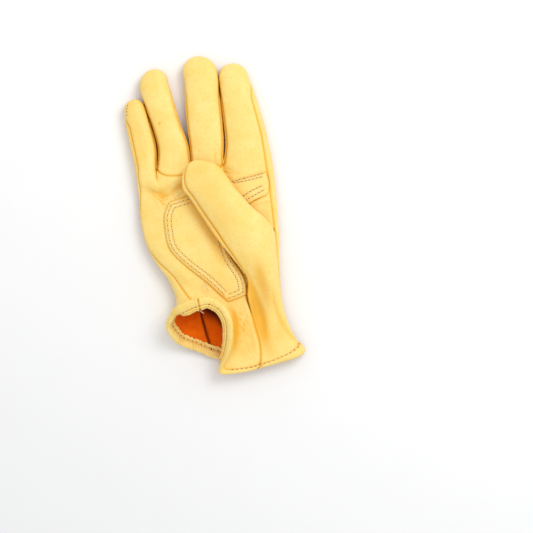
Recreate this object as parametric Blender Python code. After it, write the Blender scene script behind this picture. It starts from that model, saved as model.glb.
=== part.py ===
"""A leather gardening glove for the right hand, lying palm up with its thumb folded over the palm.

The glove is cut and sewn as the real one is. A back panel carries the backs of all four fingers and
rolls up round both edges of the hand. A palm panel carries the fronts of the little and index fingers,
and a separate piece makes the fronts of the ring and middle fingers. Folded strips, the fourchettes,
wall the fingers where they face each other. The thumb is two pieces, a reinforcing patch lies on the
palm, and a folded hem goes round the cuff, whose outer half stands open as a mouth.

Sizes are in metres, with +X towards the thumb, +Y towards the fingertips and +Z up, out of the palm.
The origin is on the floor, under the middle of the palm.
"""

from collections import namedtuple

import bmesh
import bpy
import numpy as np
from mathutils import Vector

# Driving sizes of the leather
WALL = 0.0012
PATCH_WALL = 0.0012
HEM_WALL = 0.0010
SEAM_GAP = 0.0004
LAYER_GAP = 0.0004
HEM_GAP = 0.0006

# Driving sizes of the hand
PALM_BREADTH = 0.100
PALM_LENGTH = 0.100
PALM_DEPTH = 0.0170
FINGER_LENGTH = 0.080
FINGER_DEPTH = 0.0155
NOTCH_LENGTH = 0.0055
THUMB_DEPTH = 0.0150

# Driving sizes of the cuff
CUFF_DROP = 0.050
CUFF_LENGTH = 0.060
MOUTH_HEIGHT = 0.040
HEM_OUTSIDE = 0.0055
HEM_INSIDE = 0.0070
HEM_BEND = 0.0012

# How square the sections are, how hard they press on the floor, and where their widest part is
HAND_SQUARENESS = 2.8
FINGER_SQUARENESS = 2.4
THUMB_SQUARENESS = 2.3
FLOOR_PRESS = 1.12
MIDDLE_OF_DEPTH = 0.45

# Hand sections from the cuff, 0, to the finger crotches, 1. The outline's left and right ends are
# shares of the palm's breadth and length, and depth is a share of the palm's depth.
Section = namedtuple("Section", "station left_x left_y right_x right_y depth")
HAND = (
    Section(0.00, -0.27, -0.49, 0.54, -0.97, 0.88),
    Section(0.10, -0.29, -0.46, 0.48, -0.83, 0.92),
    Section(0.20, -0.33, -0.39, 0.465, -0.65, 0.96),
    Section(0.30, -0.385, -0.27, 0.480, -0.47, 1.00),
    Section(0.40, -0.44, -0.15, 0.505, -0.30, 1.00),
    Section(0.50, -0.48, -0.03, 0.530, -0.15, 1.00),
    Section(0.66, -0.495, 0.165, 0.555, 0.06, 0.98),
    Section(0.84, -0.474, 0.373, 0.572, 0.27, 0.95),
    Section(1.00, -0.465, 0.56, 0.582, 0.455, 0.92),
)
KNUCKLE_START = 0.86

# Seams of the hand, as angles round its section: 0 is the thumb's edge, 90 the middle of the palm
# and 180 the little finger's edge.
Seam = namedtuple("Seam", "station angle")
ULNAR_SEAM = (
    Seam(0.0, 138),
    Seam(0.1, 139),
    Seam(0.2, 140),
    Seam(0.3, 142),
    Seam(0.4, 155),
    Seam(0.5, 168),
    Seam(0.7, 170),
    Seam(0.85, 160),
    Seam(1.0, 146),
)
RADIAL_SEAM = (
    Seam(0.0, -10),
    Seam(0.2, 2),
    Seam(0.3, 14),
    Seam(0.4, 23),
    Seam(0.55, 29),
    Seam(0.7, 31),
    Seam(0.85, 33),
    Seam(1.0, 35),
)
# The palm's seam with the thumb's upper piece, which runs on as the edge of the thumb hole
THUMB_SIDE_SEAM = (
    Seam(0.0, 35),
    Seam(0.08, 47),
    Seam(0.15, 58),
    Seam(0.235, 67),
    Seam(0.31, 62),
    Seam(0.39, 52),
    Seam(0.47, 42),
    Seam(0.55, 31),
)
HOLE_START = 0.30
THUMB_CROTCH = 0.57
WRAP_ANGLE = 45

# The cuff's edge: an angle round the hand, a share of the palm's breadth across, a share of the
# cuff's length along, and a share of the mouth's height up
Rim = namedtuple("Rim", "angle across along height")
CUFF_RIM = (
    Rim(0, 0.565, -0.86, 0.190),
    Rim(10, 0.535, -0.895, 0.305),
    Rim(33, 0.230, -0.98, 0.335),
    Rim(50, 0.064, -0.995, 0.345),
    Rim(66, -0.086, -0.94, 0.375),
    Rim(79, -0.016, -0.725, 0.53),
    Rim(93, 0.029, -0.515, 0.70),
    Rim(106, 0.044, -0.30, 0.85),
    Rim(117, 0.007, -0.13, 0.95),
    Rim(128, -0.074, -0.02, 1.00),
    Rim(138, -0.152, -0.01, 0.99),
    Rim(155, -0.281, -0.05, 0.90),
    Rim(171, -0.375, -0.125, 0.73),
    Rim(184, -0.418, -0.255, 0.53),
    Rim(198, -0.398, -0.42, 0.34),
    Rim(212, -0.341, -0.52, 0.20),
    Rim(234, -0.222, -0.64, 0.105),
    Rim(253, -0.127, -0.74, 0.078),
    Rim(275, 0.020, -0.84, 0.078),
    Rim(310, 0.270, -0.91, 0.078),
    Rim(340, 0.480, -0.92, 0.078),
    Rim(352, 0.550, -0.88, 0.095),
)
FLARE_END = 0.30
FLARE_SHARPNESS = 2.2

# The gathers of the mouth's rim, between two angles: how many, how deep, and how far into the cuff
GATHER_START = 126
GATHER_END = 232
GATHERS = 4
GATHER_DEPTH = 0.0006
GATHER_REACH = 0.16

# Each finger's left and right sides, at shares of the finger length above the crotches
Side = namedtuple("Side", "reach left right")
Finger = namedtuple("Finger", "name tip depth lean sides")
FINGERS = (
    Finger("little", 0.69, 0.87, 0.06, (
        Side(0.0, -0.465, -0.305),
        Side(0.2, -0.474, -0.279),
        Side(0.4, -0.480, -0.289),
        Side(0.6, -0.478, -0.312),
    )),
    Finger("ring", 0.965, 0.97, 0.14, (
        Side(0.0, -0.305, -0.039),
        Side(0.2, -0.269, -0.033),
        Side(0.4, -0.279, -0.066),
        Side(0.6, -0.306, -0.084),
        Side(0.8, -0.326, -0.104),
    )),
    Finger("middle", 1.062, 1.00, -0.10, (
        Side(0.0, -0.039, 0.205),
        Side(0.2, -0.025, 0.239),
        Side(0.4, -0.018, 0.257),
        Side(0.6, -0.002, 0.270),
        Side(0.8, 0.019, 0.286),
    )),
    Finger("index", 0.968, 1.00, -0.04, (
        Side(0.0, 0.205, 0.582),
        Side(0.2, 0.248, 0.579),
        Side(0.4, 0.262, 0.566),
        Side(0.6, 0.270, 0.546),
        Side(0.8, 0.284, 0.514),
    )),
)
# At the crotches all fingers have the knuckles' depth and lean, and at this share their own
KNUCKLE_DEPTH = 0.97
KNUCKLE_FADE = 0.5
# Where the palm panel is shared out between the fingers
FRONT_SHARES = (0.0, 0.145, 0.419, 0.671, 1.0)
# The seams along the fingers' outer edges, and those with the fourchettes, further round
OUTER_SEAM_ANGLE = 46
FINGER_SEAM_ANGLE = 24
FOURCHETTE_TAPER = 0.60
FOURCHETTE_END = 0.88
FOURCHETTE_STOP = 0.82
TIP_ROUNDNESS = 1.05

# The seam under the ring and middle fingers dips this far below the crotches, in hand stations
INSERT_DIP = 0.055
INSERT_SQUARENESS = 6

# The thumb's seam on its left and its folded edge on its right, from the cuff, 0, to its tip, 1:
# shares of the palm's breadth, the palm's length and the thumb's depth above the patch
Edge = namedtuple("Edge", "station x y lift")
THUMB_SEAM = (
    Edge(0.20, 0.235, -0.62, 0.00),
    Edge(0.31, 0.195, -0.38, 0.22),
    Edge(0.39, 0.145, -0.255, 0.32),
    Edge(0.47, 0.090, -0.135, 0.34),
    Edge(0.55, 0.045, -0.030, 0.38),
    Edge(0.64, -0.005, 0.085, 0.42),
    Edge(0.73, -0.052, 0.195, 0.44),
    Edge(0.82, -0.094, 0.290, 0.46),
    Edge(0.91, -0.150, 0.368, 0.46),
    Edge(1.00, -0.180, 0.475, 0.46),
)
THUMB_EDGE = (
    Edge(0.50, 0.500, -0.100, 0.02),
    Edge(0.57, 0.455, 0.020, 0.20),
    Edge(0.64, 0.385, 0.105, 0.30),
    Edge(0.73, 0.305, 0.220, 0.34),
    Edge(0.82, 0.240, 0.335, 0.36),
    Edge(0.91, 0.180, 0.490, 0.38),
    Edge(1.00, 0.092, 0.600, 0.46),
)
Crown = namedtuple("Crown", "station lift")
THUMB_CROWN = (
    Crown(0.20, 0.12),
    Crown(0.31, 0.50),
    Crown(0.39, 0.76),
    Crown(0.47, 0.94),
    Crown(0.55, 1.06),
    Crown(0.64, 1.12),
    Crown(0.73, 1.12),
    Crown(0.82, 1.08),
    Crown(0.91, 1.00),
    Crown(1.00, 0.90),
)
# The seam lies round on top of the thumb's left side, so that the front piece shows as a lip outside
# it, and the right edge is folded lower down
THUMB_SEAM_ANGLE = 36
THUMB_EDGE_ANGLE = 15
THUMB_LIP = 0.078
THUMB_SEAM_RISE = 0.42
THUMB_CAP = 0.82
THUMB_ROOT = (0.17, 0.31)
THUMB_LIFT_OFF = (0.17, 0.24)
THUMB_SWING = (0.23, 0.32)
THUMB_EDGE_LIFT_OFF = (0.52, 0.60)
BUTT = 0.0024
BUTT_TURN = 6
BUTT_START = (0.36, 0.46)
BUTT_END = (0.62, 0.72)
THUMB_AXIS = (-0.40, 0.92, 0.0)

# The patch's left and right edges on the palm: side is a share of the hand's half breadth
PatchEdge = namedtuple("PatchEdge", "share side station")
PATCH_LEFT = (
    PatchEdge(0.0, -0.01, 0.195),
    PatchEdge(0.15, -0.15, 0.222),
    PatchEdge(0.3, -0.31, 0.275),
    PatchEdge(0.45, -0.53, 0.36),
    PatchEdge(0.6, -0.665, 0.46),
    PatchEdge(0.75, -0.665, 0.59),
    PatchEdge(0.88, -0.64, 0.69),
    PatchEdge(1.0, -0.56, 0.775),
)
PATCH_RIGHT = (
    PatchEdge(0.0, 0.40, 0.240),
    PatchEdge(0.15, 0.38, 0.315),
    PatchEdge(0.35, 0.23, 0.43),
    PatchEdge(0.55, 0.22, 0.565),
    PatchEdge(0.72, 0.43, 0.67),
    PatchEdge(0.80, 0.66, 0.735),
    PatchEdge(0.85, 0.88, 0.782),
    PatchEdge(0.88, 0.90, 0.82),
    PatchEdge(1.0, 0.89, 0.93),
)

# Folds of the palm: ends as shares of the palm's breadth and length, width of the breadth, and rise
# as a share of the palm's depth, below 0 for a crease and above it for a roll
Fold = namedtuple("Fold", "x0 y0 x1 y1 width rise")
PALM_FOLDS = (
    Fold(-0.44, 0.38, -0.30, 0.34, 0.035, -0.12),
    Fold(-0.30, 0.34, -0.10, 0.38, 0.035, -0.12),
    Fold(-0.32, 0.43, -0.10, 0.44, 0.050, 0.08),
    Fold(-0.41, -0.06, -0.22, -0.33, 0.050, 0.10),
    Fold(0.30, -0.78, 0.34, -0.45, 0.060, -0.14),
    Fold(0.40, -0.86, 0.43, -0.45, 0.050, 0.10),
)

# How finely the leather is divided
FINGER_COLUMNS = 5
MOUTH_COLUMNS = 12
EDGE_COLUMNS = 3
FOURCHETTE_COLUMNS = 4
PATCH_COLUMNS = 10
PATCH_ROWS = 14
THUMB_COLUMNS = 8
THUMB_ROWS = 3
CUFF_ROWS = 6
HAND_ROWS = 6
KNUCKLE_ROWS = 3
INSERT_ROWS = 2
FINGER_ROWS = 5
CAP_ROWS = 4
NOTCH_STEPS = (0, 0.12, 0.45, 1)
RIM_ROW = 0.025
ROW_SPACE = 0.02
SMALL_STEP = 1e-3
HEM_STEP = 0.02
EDGE_TURN = 0.05
WELD = 1e-5

LEATHER = (0.87, 0.60, 0.17, 1.0)
PATCH_LEATHER = (0.85, 0.57, 0.15, 1.0)
HEM_LEATHER = (0.88, 0.62, 0.20, 1.0)


def through(rows, column, at):
    """A smooth curve through one column of a table, read at the given stations."""
    stations = np.array([row[0] for row in rows], float)
    values = np.array([getattr(row, column) for row in rows], float)
    slopes = np.gradient(values, stations)
    at = np.clip(np.asarray(at, float), stations[0], stations[-1])
    i = np.clip(np.searchsorted(stations, at, side="right") - 1, 0, len(rows) - 2)
    step = stations[i + 1] - stations[i]
    u = (at - stations[i]) / step
    start = values[i] * (1 + 2 * u) * (1 - u) ** 2 + slopes[i] * step * u * (1 - u) ** 2
    end = values[i + 1] * (3 - 2 * u) * u**2 - slopes[i + 1] * step * u**2 * (1 - u)
    return start + end


def ease(x, low, high):
    """0 below low, 1 above high and a smooth step between."""
    u = np.clip((np.asarray(x, float) - low) / (high - low), 0, 1)
    return u * u * (3 - 2 * u)


def mix(a, b, share):
    return a + (b - a) * share


def joined(*parts):
    return np.stack(np.broadcast_arrays(*parts), axis=-1)


def unit(vectors):
    return vectors / np.maximum(np.linalg.norm(vectors, axis=-1, keepdims=True), 1e-12)


def rounded_square(angle, squareness):
    """The side and the rise, each from -1 to 1, of a rounded square at this angle in degrees."""
    c, s = np.cos(np.radians(angle)), np.sin(np.radians(angle))
    size = (np.abs(c) ** squareness + np.abs(s) ** squareness) ** (-1 / squareness)
    return c * size, s * size


def angle_of_side(side, squareness):
    """The angle, in the upper half, at which a rounded square has this side."""
    rise = np.maximum(1 - np.abs(side) ** squareness, 0) ** (1 / squareness)
    return np.degrees(np.arctan2(rise, side))


def lying(rise, depth, fullness=1.0):
    """The height of a section that lies on the floor and is pressed flat by it."""
    middle = MIDDLE_OF_DEPTH * depth
    above = (depth - middle) * rise
    below = middle * np.maximum(FLOOR_PRESS * rise, -1)
    return middle + fullness * np.where(rise > 0, above, below)


def rim(angle):
    """The cuff's edge at this angle round the hand."""
    before = tuple(row._replace(angle=row.angle - 360) for row in CUFF_RIM)
    after = tuple(row._replace(angle=row.angle + 360) for row in CUFF_RIM)
    rows = before + CUFF_RIM + after
    across = through(rows, "across", angle) * PALM_BREADTH
    along = through(rows, "along", angle) * CUFF_LENGTH - CUFF_DROP
    return joined(across, along, through(rows, "height", angle) * MOUTH_HEIGHT)


def gathers(angle, station):
    """How far the gathers of the mouth's rim stand out here."""
    share = np.clip((np.mod(angle, 360) - GATHER_START) / (GATHER_END - GATHER_START), 0, 1)
    wave = np.sin(2 * np.pi * GATHERS * share) * np.sin(np.pi * share)
    return GATHER_DEPTH * wave * (1 - ease(station, 0, GATHER_REACH))


def folds(x, y):
    """How far the palm's folds lift it at a point."""
    lift = np.zeros_like(x)
    for fold in PALM_FOLDS:
        start = np.array([fold.x0 * PALM_BREADTH, fold.y0 * PALM_LENGTH])
        run = np.array([fold.x1 * PALM_BREADTH, fold.y1 * PALM_LENGTH]) - start
        share = np.clip(((x - start[0]) * run[0] + (y - start[1]) * run[1]) / (run @ run), 0, 1)
        away = np.hypot(x - start[0] - share * run[0], y - start[1] - share * run[1])
        lift = lift + fold.rise * PALM_DEPTH * np.exp(-((away / (fold.width * PALM_BREADTH)) ** 2))
    return lift


def hand(angle, station):
    """A point of the hand's outside, from the cuff's edge at station 0 to the crotches at 1."""
    side, rise = rounded_square(angle, HAND_SQUARENESS)
    left_x = through(HAND, "left_x", station) * PALM_BREADTH
    left_y = through(HAND, "left_y", station) * PALM_LENGTH
    right_x = through(HAND, "right_x", station) * PALM_BREADTH
    right_y = through(HAND, "right_y", station) * PALM_LENGTH
    x = mix(left_x, right_x, (1 + side) / 2)
    y = mix(left_y, right_y, (1 + side) / 2)
    z = lying(rise, through(HAND, "depth", station) * PALM_DEPTH)
    z = z + folds(x, y) * np.clip(rise, 0, 1)
    flare = np.clip(1 - np.asarray(station, float) / FLARE_END, 0, 1) ** FLARE_SHARPNESS
    out = unit(joined(side, 0, rise)) * gathers(angle, station)[..., None]
    return mix(joined(x, y, z), rim(angle), flare[..., None]) + out


def palm_edge_angle(station):
    """The angle of the palm panel's right edge: beside the thumb, then the radial seam."""
    beside_thumb = through(THUMB_SIDE_SEAM, "angle", station)
    radial = through(RADIAL_SEAM, "angle", station)
    return mix(beside_thumb, radial, ease(station, THUMB_SIDE_SEAM[-1].station, THUMB_CROTCH))


def spread(left, right, share, station):
    """An angle between two seams: even along the rim, and even across the hand further in."""
    left_side = rounded_square(left, HAND_SQUARENESS)[0]
    right_side = rounded_square(right, HAND_SQUARENESS)[0]
    even = angle_of_side(mix(left_side, right_side, share), HAND_SQUARENESS)
    return mix(mix(left, right, share), even, ease(station, 0, FLARE_END))


def hand_under(k, across, station, up):
    """The hand's own surface below finger k: on the palm where up is 1, on the back where it is -1."""
    share = mix(FRONT_SHARES[k], FRONT_SHARES[k + 1], (1 + across) / 2)
    if up > 0:
        left, right = through(ULNAR_SEAM, "angle", station), palm_edge_angle(station)
        return hand(spread(left, right, share, station), station)
    return hand(-spread(180 - WRAP_ANGLE, WRAP_ANGLE, share, station), station)


def finger_sides(finger, reach):
    left = through(finger.sides, "left", reach) * PALM_BREADTH
    right = through(finger.sides, "right", reach) * PALM_BREADTH
    return left, right


def crotch_line(x):
    """How far along the hand the line of the crotches is, here."""
    left, right = HAND[-1].left_x * PALM_BREADTH, HAND[-1].right_x * PALM_BREADTH
    low, high = HAND[-1].left_y * PALM_LENGTH, HAND[-1].right_y * PALM_LENGTH
    return mix(low, high, (x - left) / (right - left))


def cap_share(finger):
    """The share of a finger's length that its rounded tip takes."""
    left, right = finger_sides(finger, finger.tip)
    return TIP_ROUNDNESS * (right - left) / 2 / (finger.tip * FINGER_LENGTH)


def finger_point(k, across, rise, share):
    """A point of finger k at a share of its length, with across from -1 to 1 over its width."""
    finger = FINGERS[k]
    reach = share * finger.tip
    left, right = finger_sides(finger, reach)
    middle, half = (left + right) / 2, (right - left) / 2
    cap = cap_share(finger)
    fullness = np.sqrt(np.maximum(1 - np.clip((share - 1 + cap) / cap, 0, 1) ** 2, 0))
    x = middle + half * across * fullness
    settled = ease(share, 0, KNUCKLE_FADE)
    slope = mix(crotch_line(1.0) - crotch_line(0.0), finger.lean, settled)
    y = crotch_line(middle) + reach * FINGER_LENGTH + slope * (x - middle)
    depth = mix(KNUCKLE_DEPTH, finger.depth, settled) * FINGER_DEPTH
    return joined(x, y, lying(rise, depth, fullness))


def seam_angle(share, outer=False):
    """A finger seam's angle above or below its middle: the seams close up before the fingertip."""
    widest = OUTER_SEAM_ANGLE if outer else FINGER_SEAM_ANGLE
    return widest * (1 - ease(share, FOURCHETTE_TAPER, FOURCHETTE_END))


def notch_side(k, share, angle):
    """How far out a finger's wall stands at this angle: neighbours meet at the foot of the notch."""
    wall = rounded_square(np.abs(angle), FINGER_SQUARENESS)[0]
    length = NOTCH_LENGTH / (FINGERS[k].tip * FINGER_LENGTH)
    foot = length * np.clip(1 - (angle / FINGER_SEAM_ANGLE) ** 2, 0, 1)
    u = np.clip((share - foot) / length, 0, 1)
    return 1 - (1 - wall) * np.sqrt(np.maximum(1 - (1 - u) ** 2, 0))


def face_point(k, across, station, up):
    """A point of the front, up 1, or the back, up -1, of finger k and of the hand below it.

    Across runs from -1 to 1 over the finger, and the station from the cuff, 0, past the crotches, 1,
    to the fingertip, 2.
    """
    across, station = np.broadcast_arrays(np.asarray(across, float), np.asarray(station, float))
    share = np.clip(station - 1, 0, 1)
    walls, sides = [], []
    for outer in (k == 0, k == len(FINGERS) - 1):
        seam = seam_angle(share, outer)
        walls.append(rounded_square(seam, FINGER_SQUARENESS)[0])
        sides.append(walls[-1] if outer else notch_side(k, share, seam))
    angle = angle_of_side(mix(-walls[0], walls[1], (1 + across) / 2), FINGER_SQUARENESS)
    rise = up * rounded_square(angle, FINGER_SQUARENESS)[1]
    finger = finger_point(k, mix(-sides[0], sides[1], (1 + across) / 2), rise, share)
    below = hand_under(k, across, np.minimum(station, 1), up)
    top = hand_under(k, across, np.ones_like(station), up)
    knuckle = ease(station, KNUCKLE_START, 1)[..., None]
    return np.where(station[..., None] > 1, finger, below + knuckle * (finger - top))


def wrap_point(turn, station, right_side):
    """A point where the back rolls round an edge of the hand, from the front seam, 0, to below, 1."""
    turn, station = np.broadcast_arrays(np.asarray(turn, float), np.asarray(station, float))
    seam = through(RADIAL_SEAM if right_side else ULNAR_SEAM, "angle", np.minimum(station, 1))
    end_seam = through(RADIAL_SEAM if right_side else ULNAR_SEAM, "angle", 1.0)
    below_angle = -WRAP_ANGLE if right_side else 180 + WRAP_ANGLE
    share = np.clip(station - 1, 0, 1)
    finger_angle = seam_angle(share, True) * (1 - 2 * turn)
    if not right_side:
        finger_angle = 180 - finger_angle
    k = len(FINGERS) - 1 if right_side else 0
    finger = finger_point(k, *rounded_square(finger_angle, FINGER_SQUARENESS), share)
    below = hand(mix(seam, below_angle, turn), np.minimum(station, 1))
    top = hand(mix(end_seam, below_angle, turn), np.ones_like(station))
    knuckle = ease(station, KNUCKLE_START, 1)[..., None]
    return np.where(station[..., None] > 1, finger, below + knuckle * (finger - top))


def facing_wall(k, across, share, way):
    """A point of a wall inside a gap, between the back seam, -1, and the front seam, 1.

    Way is 1 for finger k's right wall and -1 for its left. The middle of the strip starts higher, where
    the web between the fingers is.
    """
    angle = across * seam_angle(share)
    foot = NOTCH_LENGTH / (FINGERS[k].tip * FINGER_LENGTH) * np.clip(1 - across**2, 0, 1)
    higher = share + foot * (1 - share / FOURCHETTE_STOP)
    rise = rounded_square(angle, FINGER_SQUARENESS)[1]
    return finger_point(k, way * notch_side(k, higher, angle), rise, higher)


def thumb_floor():
    """The height at which the folded thumb rests on the patch."""
    return PALM_DEPTH + PATCH_WALL + 2 * LAYER_GAP


def thumb_edge_point(edge, station):
    x = through(edge, "x", station) * PALM_BREADTH
    y = through(edge, "y", station) * PALM_LENGTH
    return joined(x, y, thumb_floor() + through(edge, "lift", station) * THUMB_DEPTH)


def thumb_crown(station):
    return thumb_floor() + through(THUMB_CROWN, "lift", station) * THUMB_DEPTH


def thumb_left(station):
    """The thumb's left seam: the palm's edge near the cuff, then up over the palm to the tip."""
    on_palm = hand(palm_edge_angle(np.minimum(station, 1)), np.minimum(station, 1))
    outline, edge = thumb_edge_point(THUMB_SEAM, station), thumb_edge_point(THUMB_EDGE, station)
    inside = mix(outline, edge, THUMB_LIP)
    height = mix(outline[..., 2], thumb_crown(station), THUMB_SEAM_RISE)
    above = joined(inside[..., 0], inside[..., 1], height)
    swing, lift = ease(station, *THUMB_SWING), ease(station, *THUMB_LIFT_OFF)
    return mix(on_palm, above, joined(swing, swing, lift))


def thumb_right(station, root):
    """The thumb's right edge: the given root line, then the thumb's own folded side."""
    above = thumb_edge_point(THUMB_EDGE, station)
    return mix(root, above, ease(station, *THUMB_EDGE_LIFT_OFF)[..., None])


def thumb_arch(left, right, angle, height, station):
    """A point of an arch from a left edge to a right edge, drawn together at the thumb's tip."""
    seam_side, seam_rise = rounded_square(180 - THUMB_SEAM_ANGLE, THUMB_SQUARENESS)
    edge_side, edge_rise = rounded_square(THUMB_EDGE_ANGLE, THUMB_SQUARENESS)
    side, rise = rounded_square(angle, THUMB_SQUARENESS)
    across = (side - seam_side) / (edge_side - seam_side)
    chord = mix(left, right, across[..., None])
    end_rise = mix(seam_rise, edge_rise, across)
    above, below = (rise - end_rise) / (1 - end_rise), (end_rise - rise) / (1 + end_rise)
    share = np.where(rise > end_rise, above, below)
    z = mix(chord[..., 2], height, share)
    cap = np.clip((station - THUMB_CAP) / (1 - THUMB_CAP), 0, 1)
    fullness = np.sqrt(np.maximum(1 - cap**2, 0))[..., None]
    middle = (left + right) / 2
    return middle + fullness * (joined(chord[..., 0], chord[..., 1], z) - middle)


def thumb_back_point(across, station):
    """A point of the thumb's upper piece and the side of the hand below it."""
    across, station = np.broadcast_arrays(np.asarray(across, float), np.asarray(station, float))
    angle = mix(180 - THUMB_SEAM_ANGLE, THUMB_EDGE_ANGLE, across)
    in_hand = np.minimum(station, 1)
    seam = through(RADIAL_SEAM, "angle", in_hand)
    right = thumb_right(station, hand(seam, in_hand))
    arch = thumb_arch(thumb_left(station), right, angle, thumb_crown(station), station)
    palm_edge = palm_edge_angle(in_hand)
    on_hand = hand(mix(palm_edge, seam, across), in_hand)
    lifted = (thumb_left(station) - hand(palm_edge, in_hand)) * ((1 - across) ** 2)[..., None]
    return mix(on_hand + lifted, arch, ease(station, *THUMB_ROOT)[..., None])


def thumb_front_point(across, station):
    """A point of the thumb's lower piece, from its left seam under to the hole or the right edge."""
    across, station = np.broadcast_arrays(np.asarray(across, float), np.asarray(station, float))
    angle = mix(180 - THUMB_SEAM_ANGLE, 360 + THUMB_EDGE_ANGLE, across)
    in_hand = np.minimum(station, 1)
    turn = BUTT_TURN * ease(station, *BUTT_START)
    hole = hand(palm_edge_angle(in_hand) + turn, in_hand) + np.array([0, 0, 2 * LAYER_GAP])
    butt = BUTT * ease(station, *THUMB_EDGE_LIFT_OFF) * (1 - ease(station, *BUTT_END))
    right = thumb_right(station, hole) - joined(butt, 0, 0)
    under = thumb_floor() * np.ones_like(station)
    return thumb_arch(thumb_left(station), right, angle, under, station)


def patch_point(across, along):
    """A point of the palm, inside the patch's outline."""
    side = mix(through(PATCH_LEFT, "side", along), through(PATCH_RIGHT, "side", along), across)
    left, right = through(PATCH_LEFT, "station", along), through(PATCH_RIGHT, "station", along)
    return hand(angle_of_side(side, HAND_SQUARENESS), mix(left, right, across))


def outward(surface, u, v, turn, axis=(0.0, 1.0, 0.0)):
    """Unit normals of a surface over a grid: v runs down the rows. At a closed tip they follow axis."""
    u_step, v_step = SMALL_STEP * np.ptp(u), SMALL_STEP * np.ptp(v)
    u_ends = np.maximum(u - u_step, u.min()), np.minimum(u + u_step, u.max())
    v_ends = np.maximum(v - v_step, v.min()), np.minimum(v + v_step, v.max())
    over_u = surface(u_ends[1], v) - surface(u_ends[0], v)
    over_v = surface(u, v_ends[1]) - surface(u, v_ends[0])
    cross = turn * np.cross(over_u, over_v)
    closed = np.linalg.norm(over_u, axis=-1, keepdims=True) < 1e-9
    return unit(np.where(closed, np.array(axis), cross))


class Sheet:
    """A leather panel's outside, joined from grids that meet edge to edge, with its normals."""

    def __init__(self, name):
        self.name = name
        self.bm = bmesh.new()
        self.normal = self.bm.verts.layers.float_vector.new("normal")

    def add_grid(self, points, normals, turn):
        """Adds a grid of quads: turn is -1 where the rows and columns run left-handed."""
        rows, columns = points.shape[:2]
        verts = []
        for point, normal in zip(points.reshape(-1, 3), normals.reshape(-1, 3)):
            vert = self.bm.verts.new(point)
            vert[self.normal] = normal
            verts.append(vert)
        for i in range(rows - 1):
            for j in range(columns - 1):
                a = i * columns + j
                corners = [verts[a], verts[a + 1], verts[a + columns + 1], verts[a + columns]]
                self.bm.faces.new(corners[::turn])

    def add_surface(self, surface, columns, rows, turn, axis=(0.0, 1.0, 0.0)):
        u, v = np.meshgrid(columns, rows)
        self.add_grid(surface(u, v), outward(surface, u, v, turn, axis), turn)

    def draw_in(self, amount):
        """How far each point of the sheet's edge moves in, so that its seams have a gap."""
        inward = {}
        for edge in self.bm.edges:
            if not edge.is_boundary:
                continue
            face = edge.link_faces[0]
            run = (edge.verts[1].co - edge.verts[0].co).normalized()
            across = face.normal.cross(run)
            if across.dot(face.calc_center_median() - edge.verts[0].co) < 0:
                across.negate()
            for vert in edge.verts:
                inward.setdefault(vert, []).append(across)
        for vert, sides in inward.items():
            way = sum(sides[1:], sides[0]).normalized()
            vert.co += way * (amount / max(min(way.dot(side) for side in sides), 0.5))

    def make(self, shared, wall, material, collection):
        """Closes the sheet into one solid wall, with its inside along the shared normals."""
        bm = self.bm
        depths = {vert: shared[place(vert.co)].normalized() * -wall for vert in bm.verts}
        doubles = bmesh.ops.find_doubles(bm, verts=bm.verts, dist=WELD)["targetmap"]
        bmesh.ops.weld_verts(bm, targetmap=doubles)
        bm.normal_update()
        self.draw_in(SEAM_GAP / 2)
        faces, edges = bm.faces[:], [edge for edge in bm.edges if edge.is_boundary]
        twins = {vert: bm.verts.new(vert.co + depths[vert]) for vert in bm.verts[:]}
        for face in faces:
            bm.faces.new([twins[vert] for vert in reversed(face.verts)])
        for edge in edges:
            corners = edge.link_faces[0].verts[:]
            a, b = edge.verts
            if corners[(corners.index(a) + 1) % len(corners)] != b:
                a, b = b, a
            bm.faces.new([b, a, twins[a], twins[b]])
        bmesh.ops.triangulate(bm, faces=bm.faces)
        return finished(bm, self.name, material, collection)


def place(point):
    """A point's place on a fine grid, the same for points of two panels that meet."""
    return tuple(round(value / WELD) for value in point)


def shared_normals(sheets):
    """The sum of the normals at each point, over all the panels that meet there."""
    shared = {}
    for sheet in sheets:
        for vert in sheet.bm.verts:
            key = place(vert.co)
            shared[key] = shared.get(key, Vector()) + vert[sheet.normal]
    return shared


def finished(bm, name, material, collection):
    """Turns a bmesh into a named object."""
    mesh = bpy.data.meshes.new(name)
    bm.to_mesh(mesh)
    bm.free()
    mesh.materials.append(material)
    mesh.shade_smooth()
    thing = bpy.data.objects.new(name, mesh)
    collection.objects.link(thing)
    return thing


def hand_rows():
    """Stations of the hand's rows, closer together in the flare and at the knuckles."""
    cuff = np.insert(np.linspace(0, FLARE_END, CUFF_ROWS + 1), 1, RIM_ROW)
    middle = np.linspace(FLARE_END, KNUCKLE_START, HAND_ROWS + 1)[1:]
    knuckles = np.linspace(KNUCKLE_START, 1, KNUCKLE_ROWS + 1)[1:]
    return np.concatenate([cuff, middle, knuckles])


def finger_shares(k, up_to=1.0):
    """Shares of finger k's length for its rows: the notch, the straight part and the round tip."""
    length = NOTCH_LENGTH / (FINGERS[k].tip * FINGER_LENGTH)
    notch = length * np.array(NOTCH_STEPS)
    straight = np.linspace(length, FOURCHETTE_STOP, FINGER_ROWS + 1)[1:]
    start = 1 - cap_share(FINGERS[k])
    turns = np.linspace(0, np.pi / 2, CAP_ROWS + 1)[1:]
    cap = start + (1 - start) * np.sin(turns)
    shares = np.concatenate([notch, straight, cap[cap > FOURCHETTE_STOP + ROW_SPACE]])
    return shares[shares <= up_to + 1e-9]


def finger_columns():
    return np.linspace(-1, 1, FINGER_COLUMNS + 1)


def add_finger_face(sheet, k, stations, up):
    """Adds the strip of finger k, over the given stations, to a panel."""
    sheet.add_surface(
        lambda across, station: face_point(k, across, station, up), finger_columns(), stations, up
    )


def all_stations(k):
    return np.concatenate([hand_rows(), 1 + finger_shares(k)[1:]])


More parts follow.
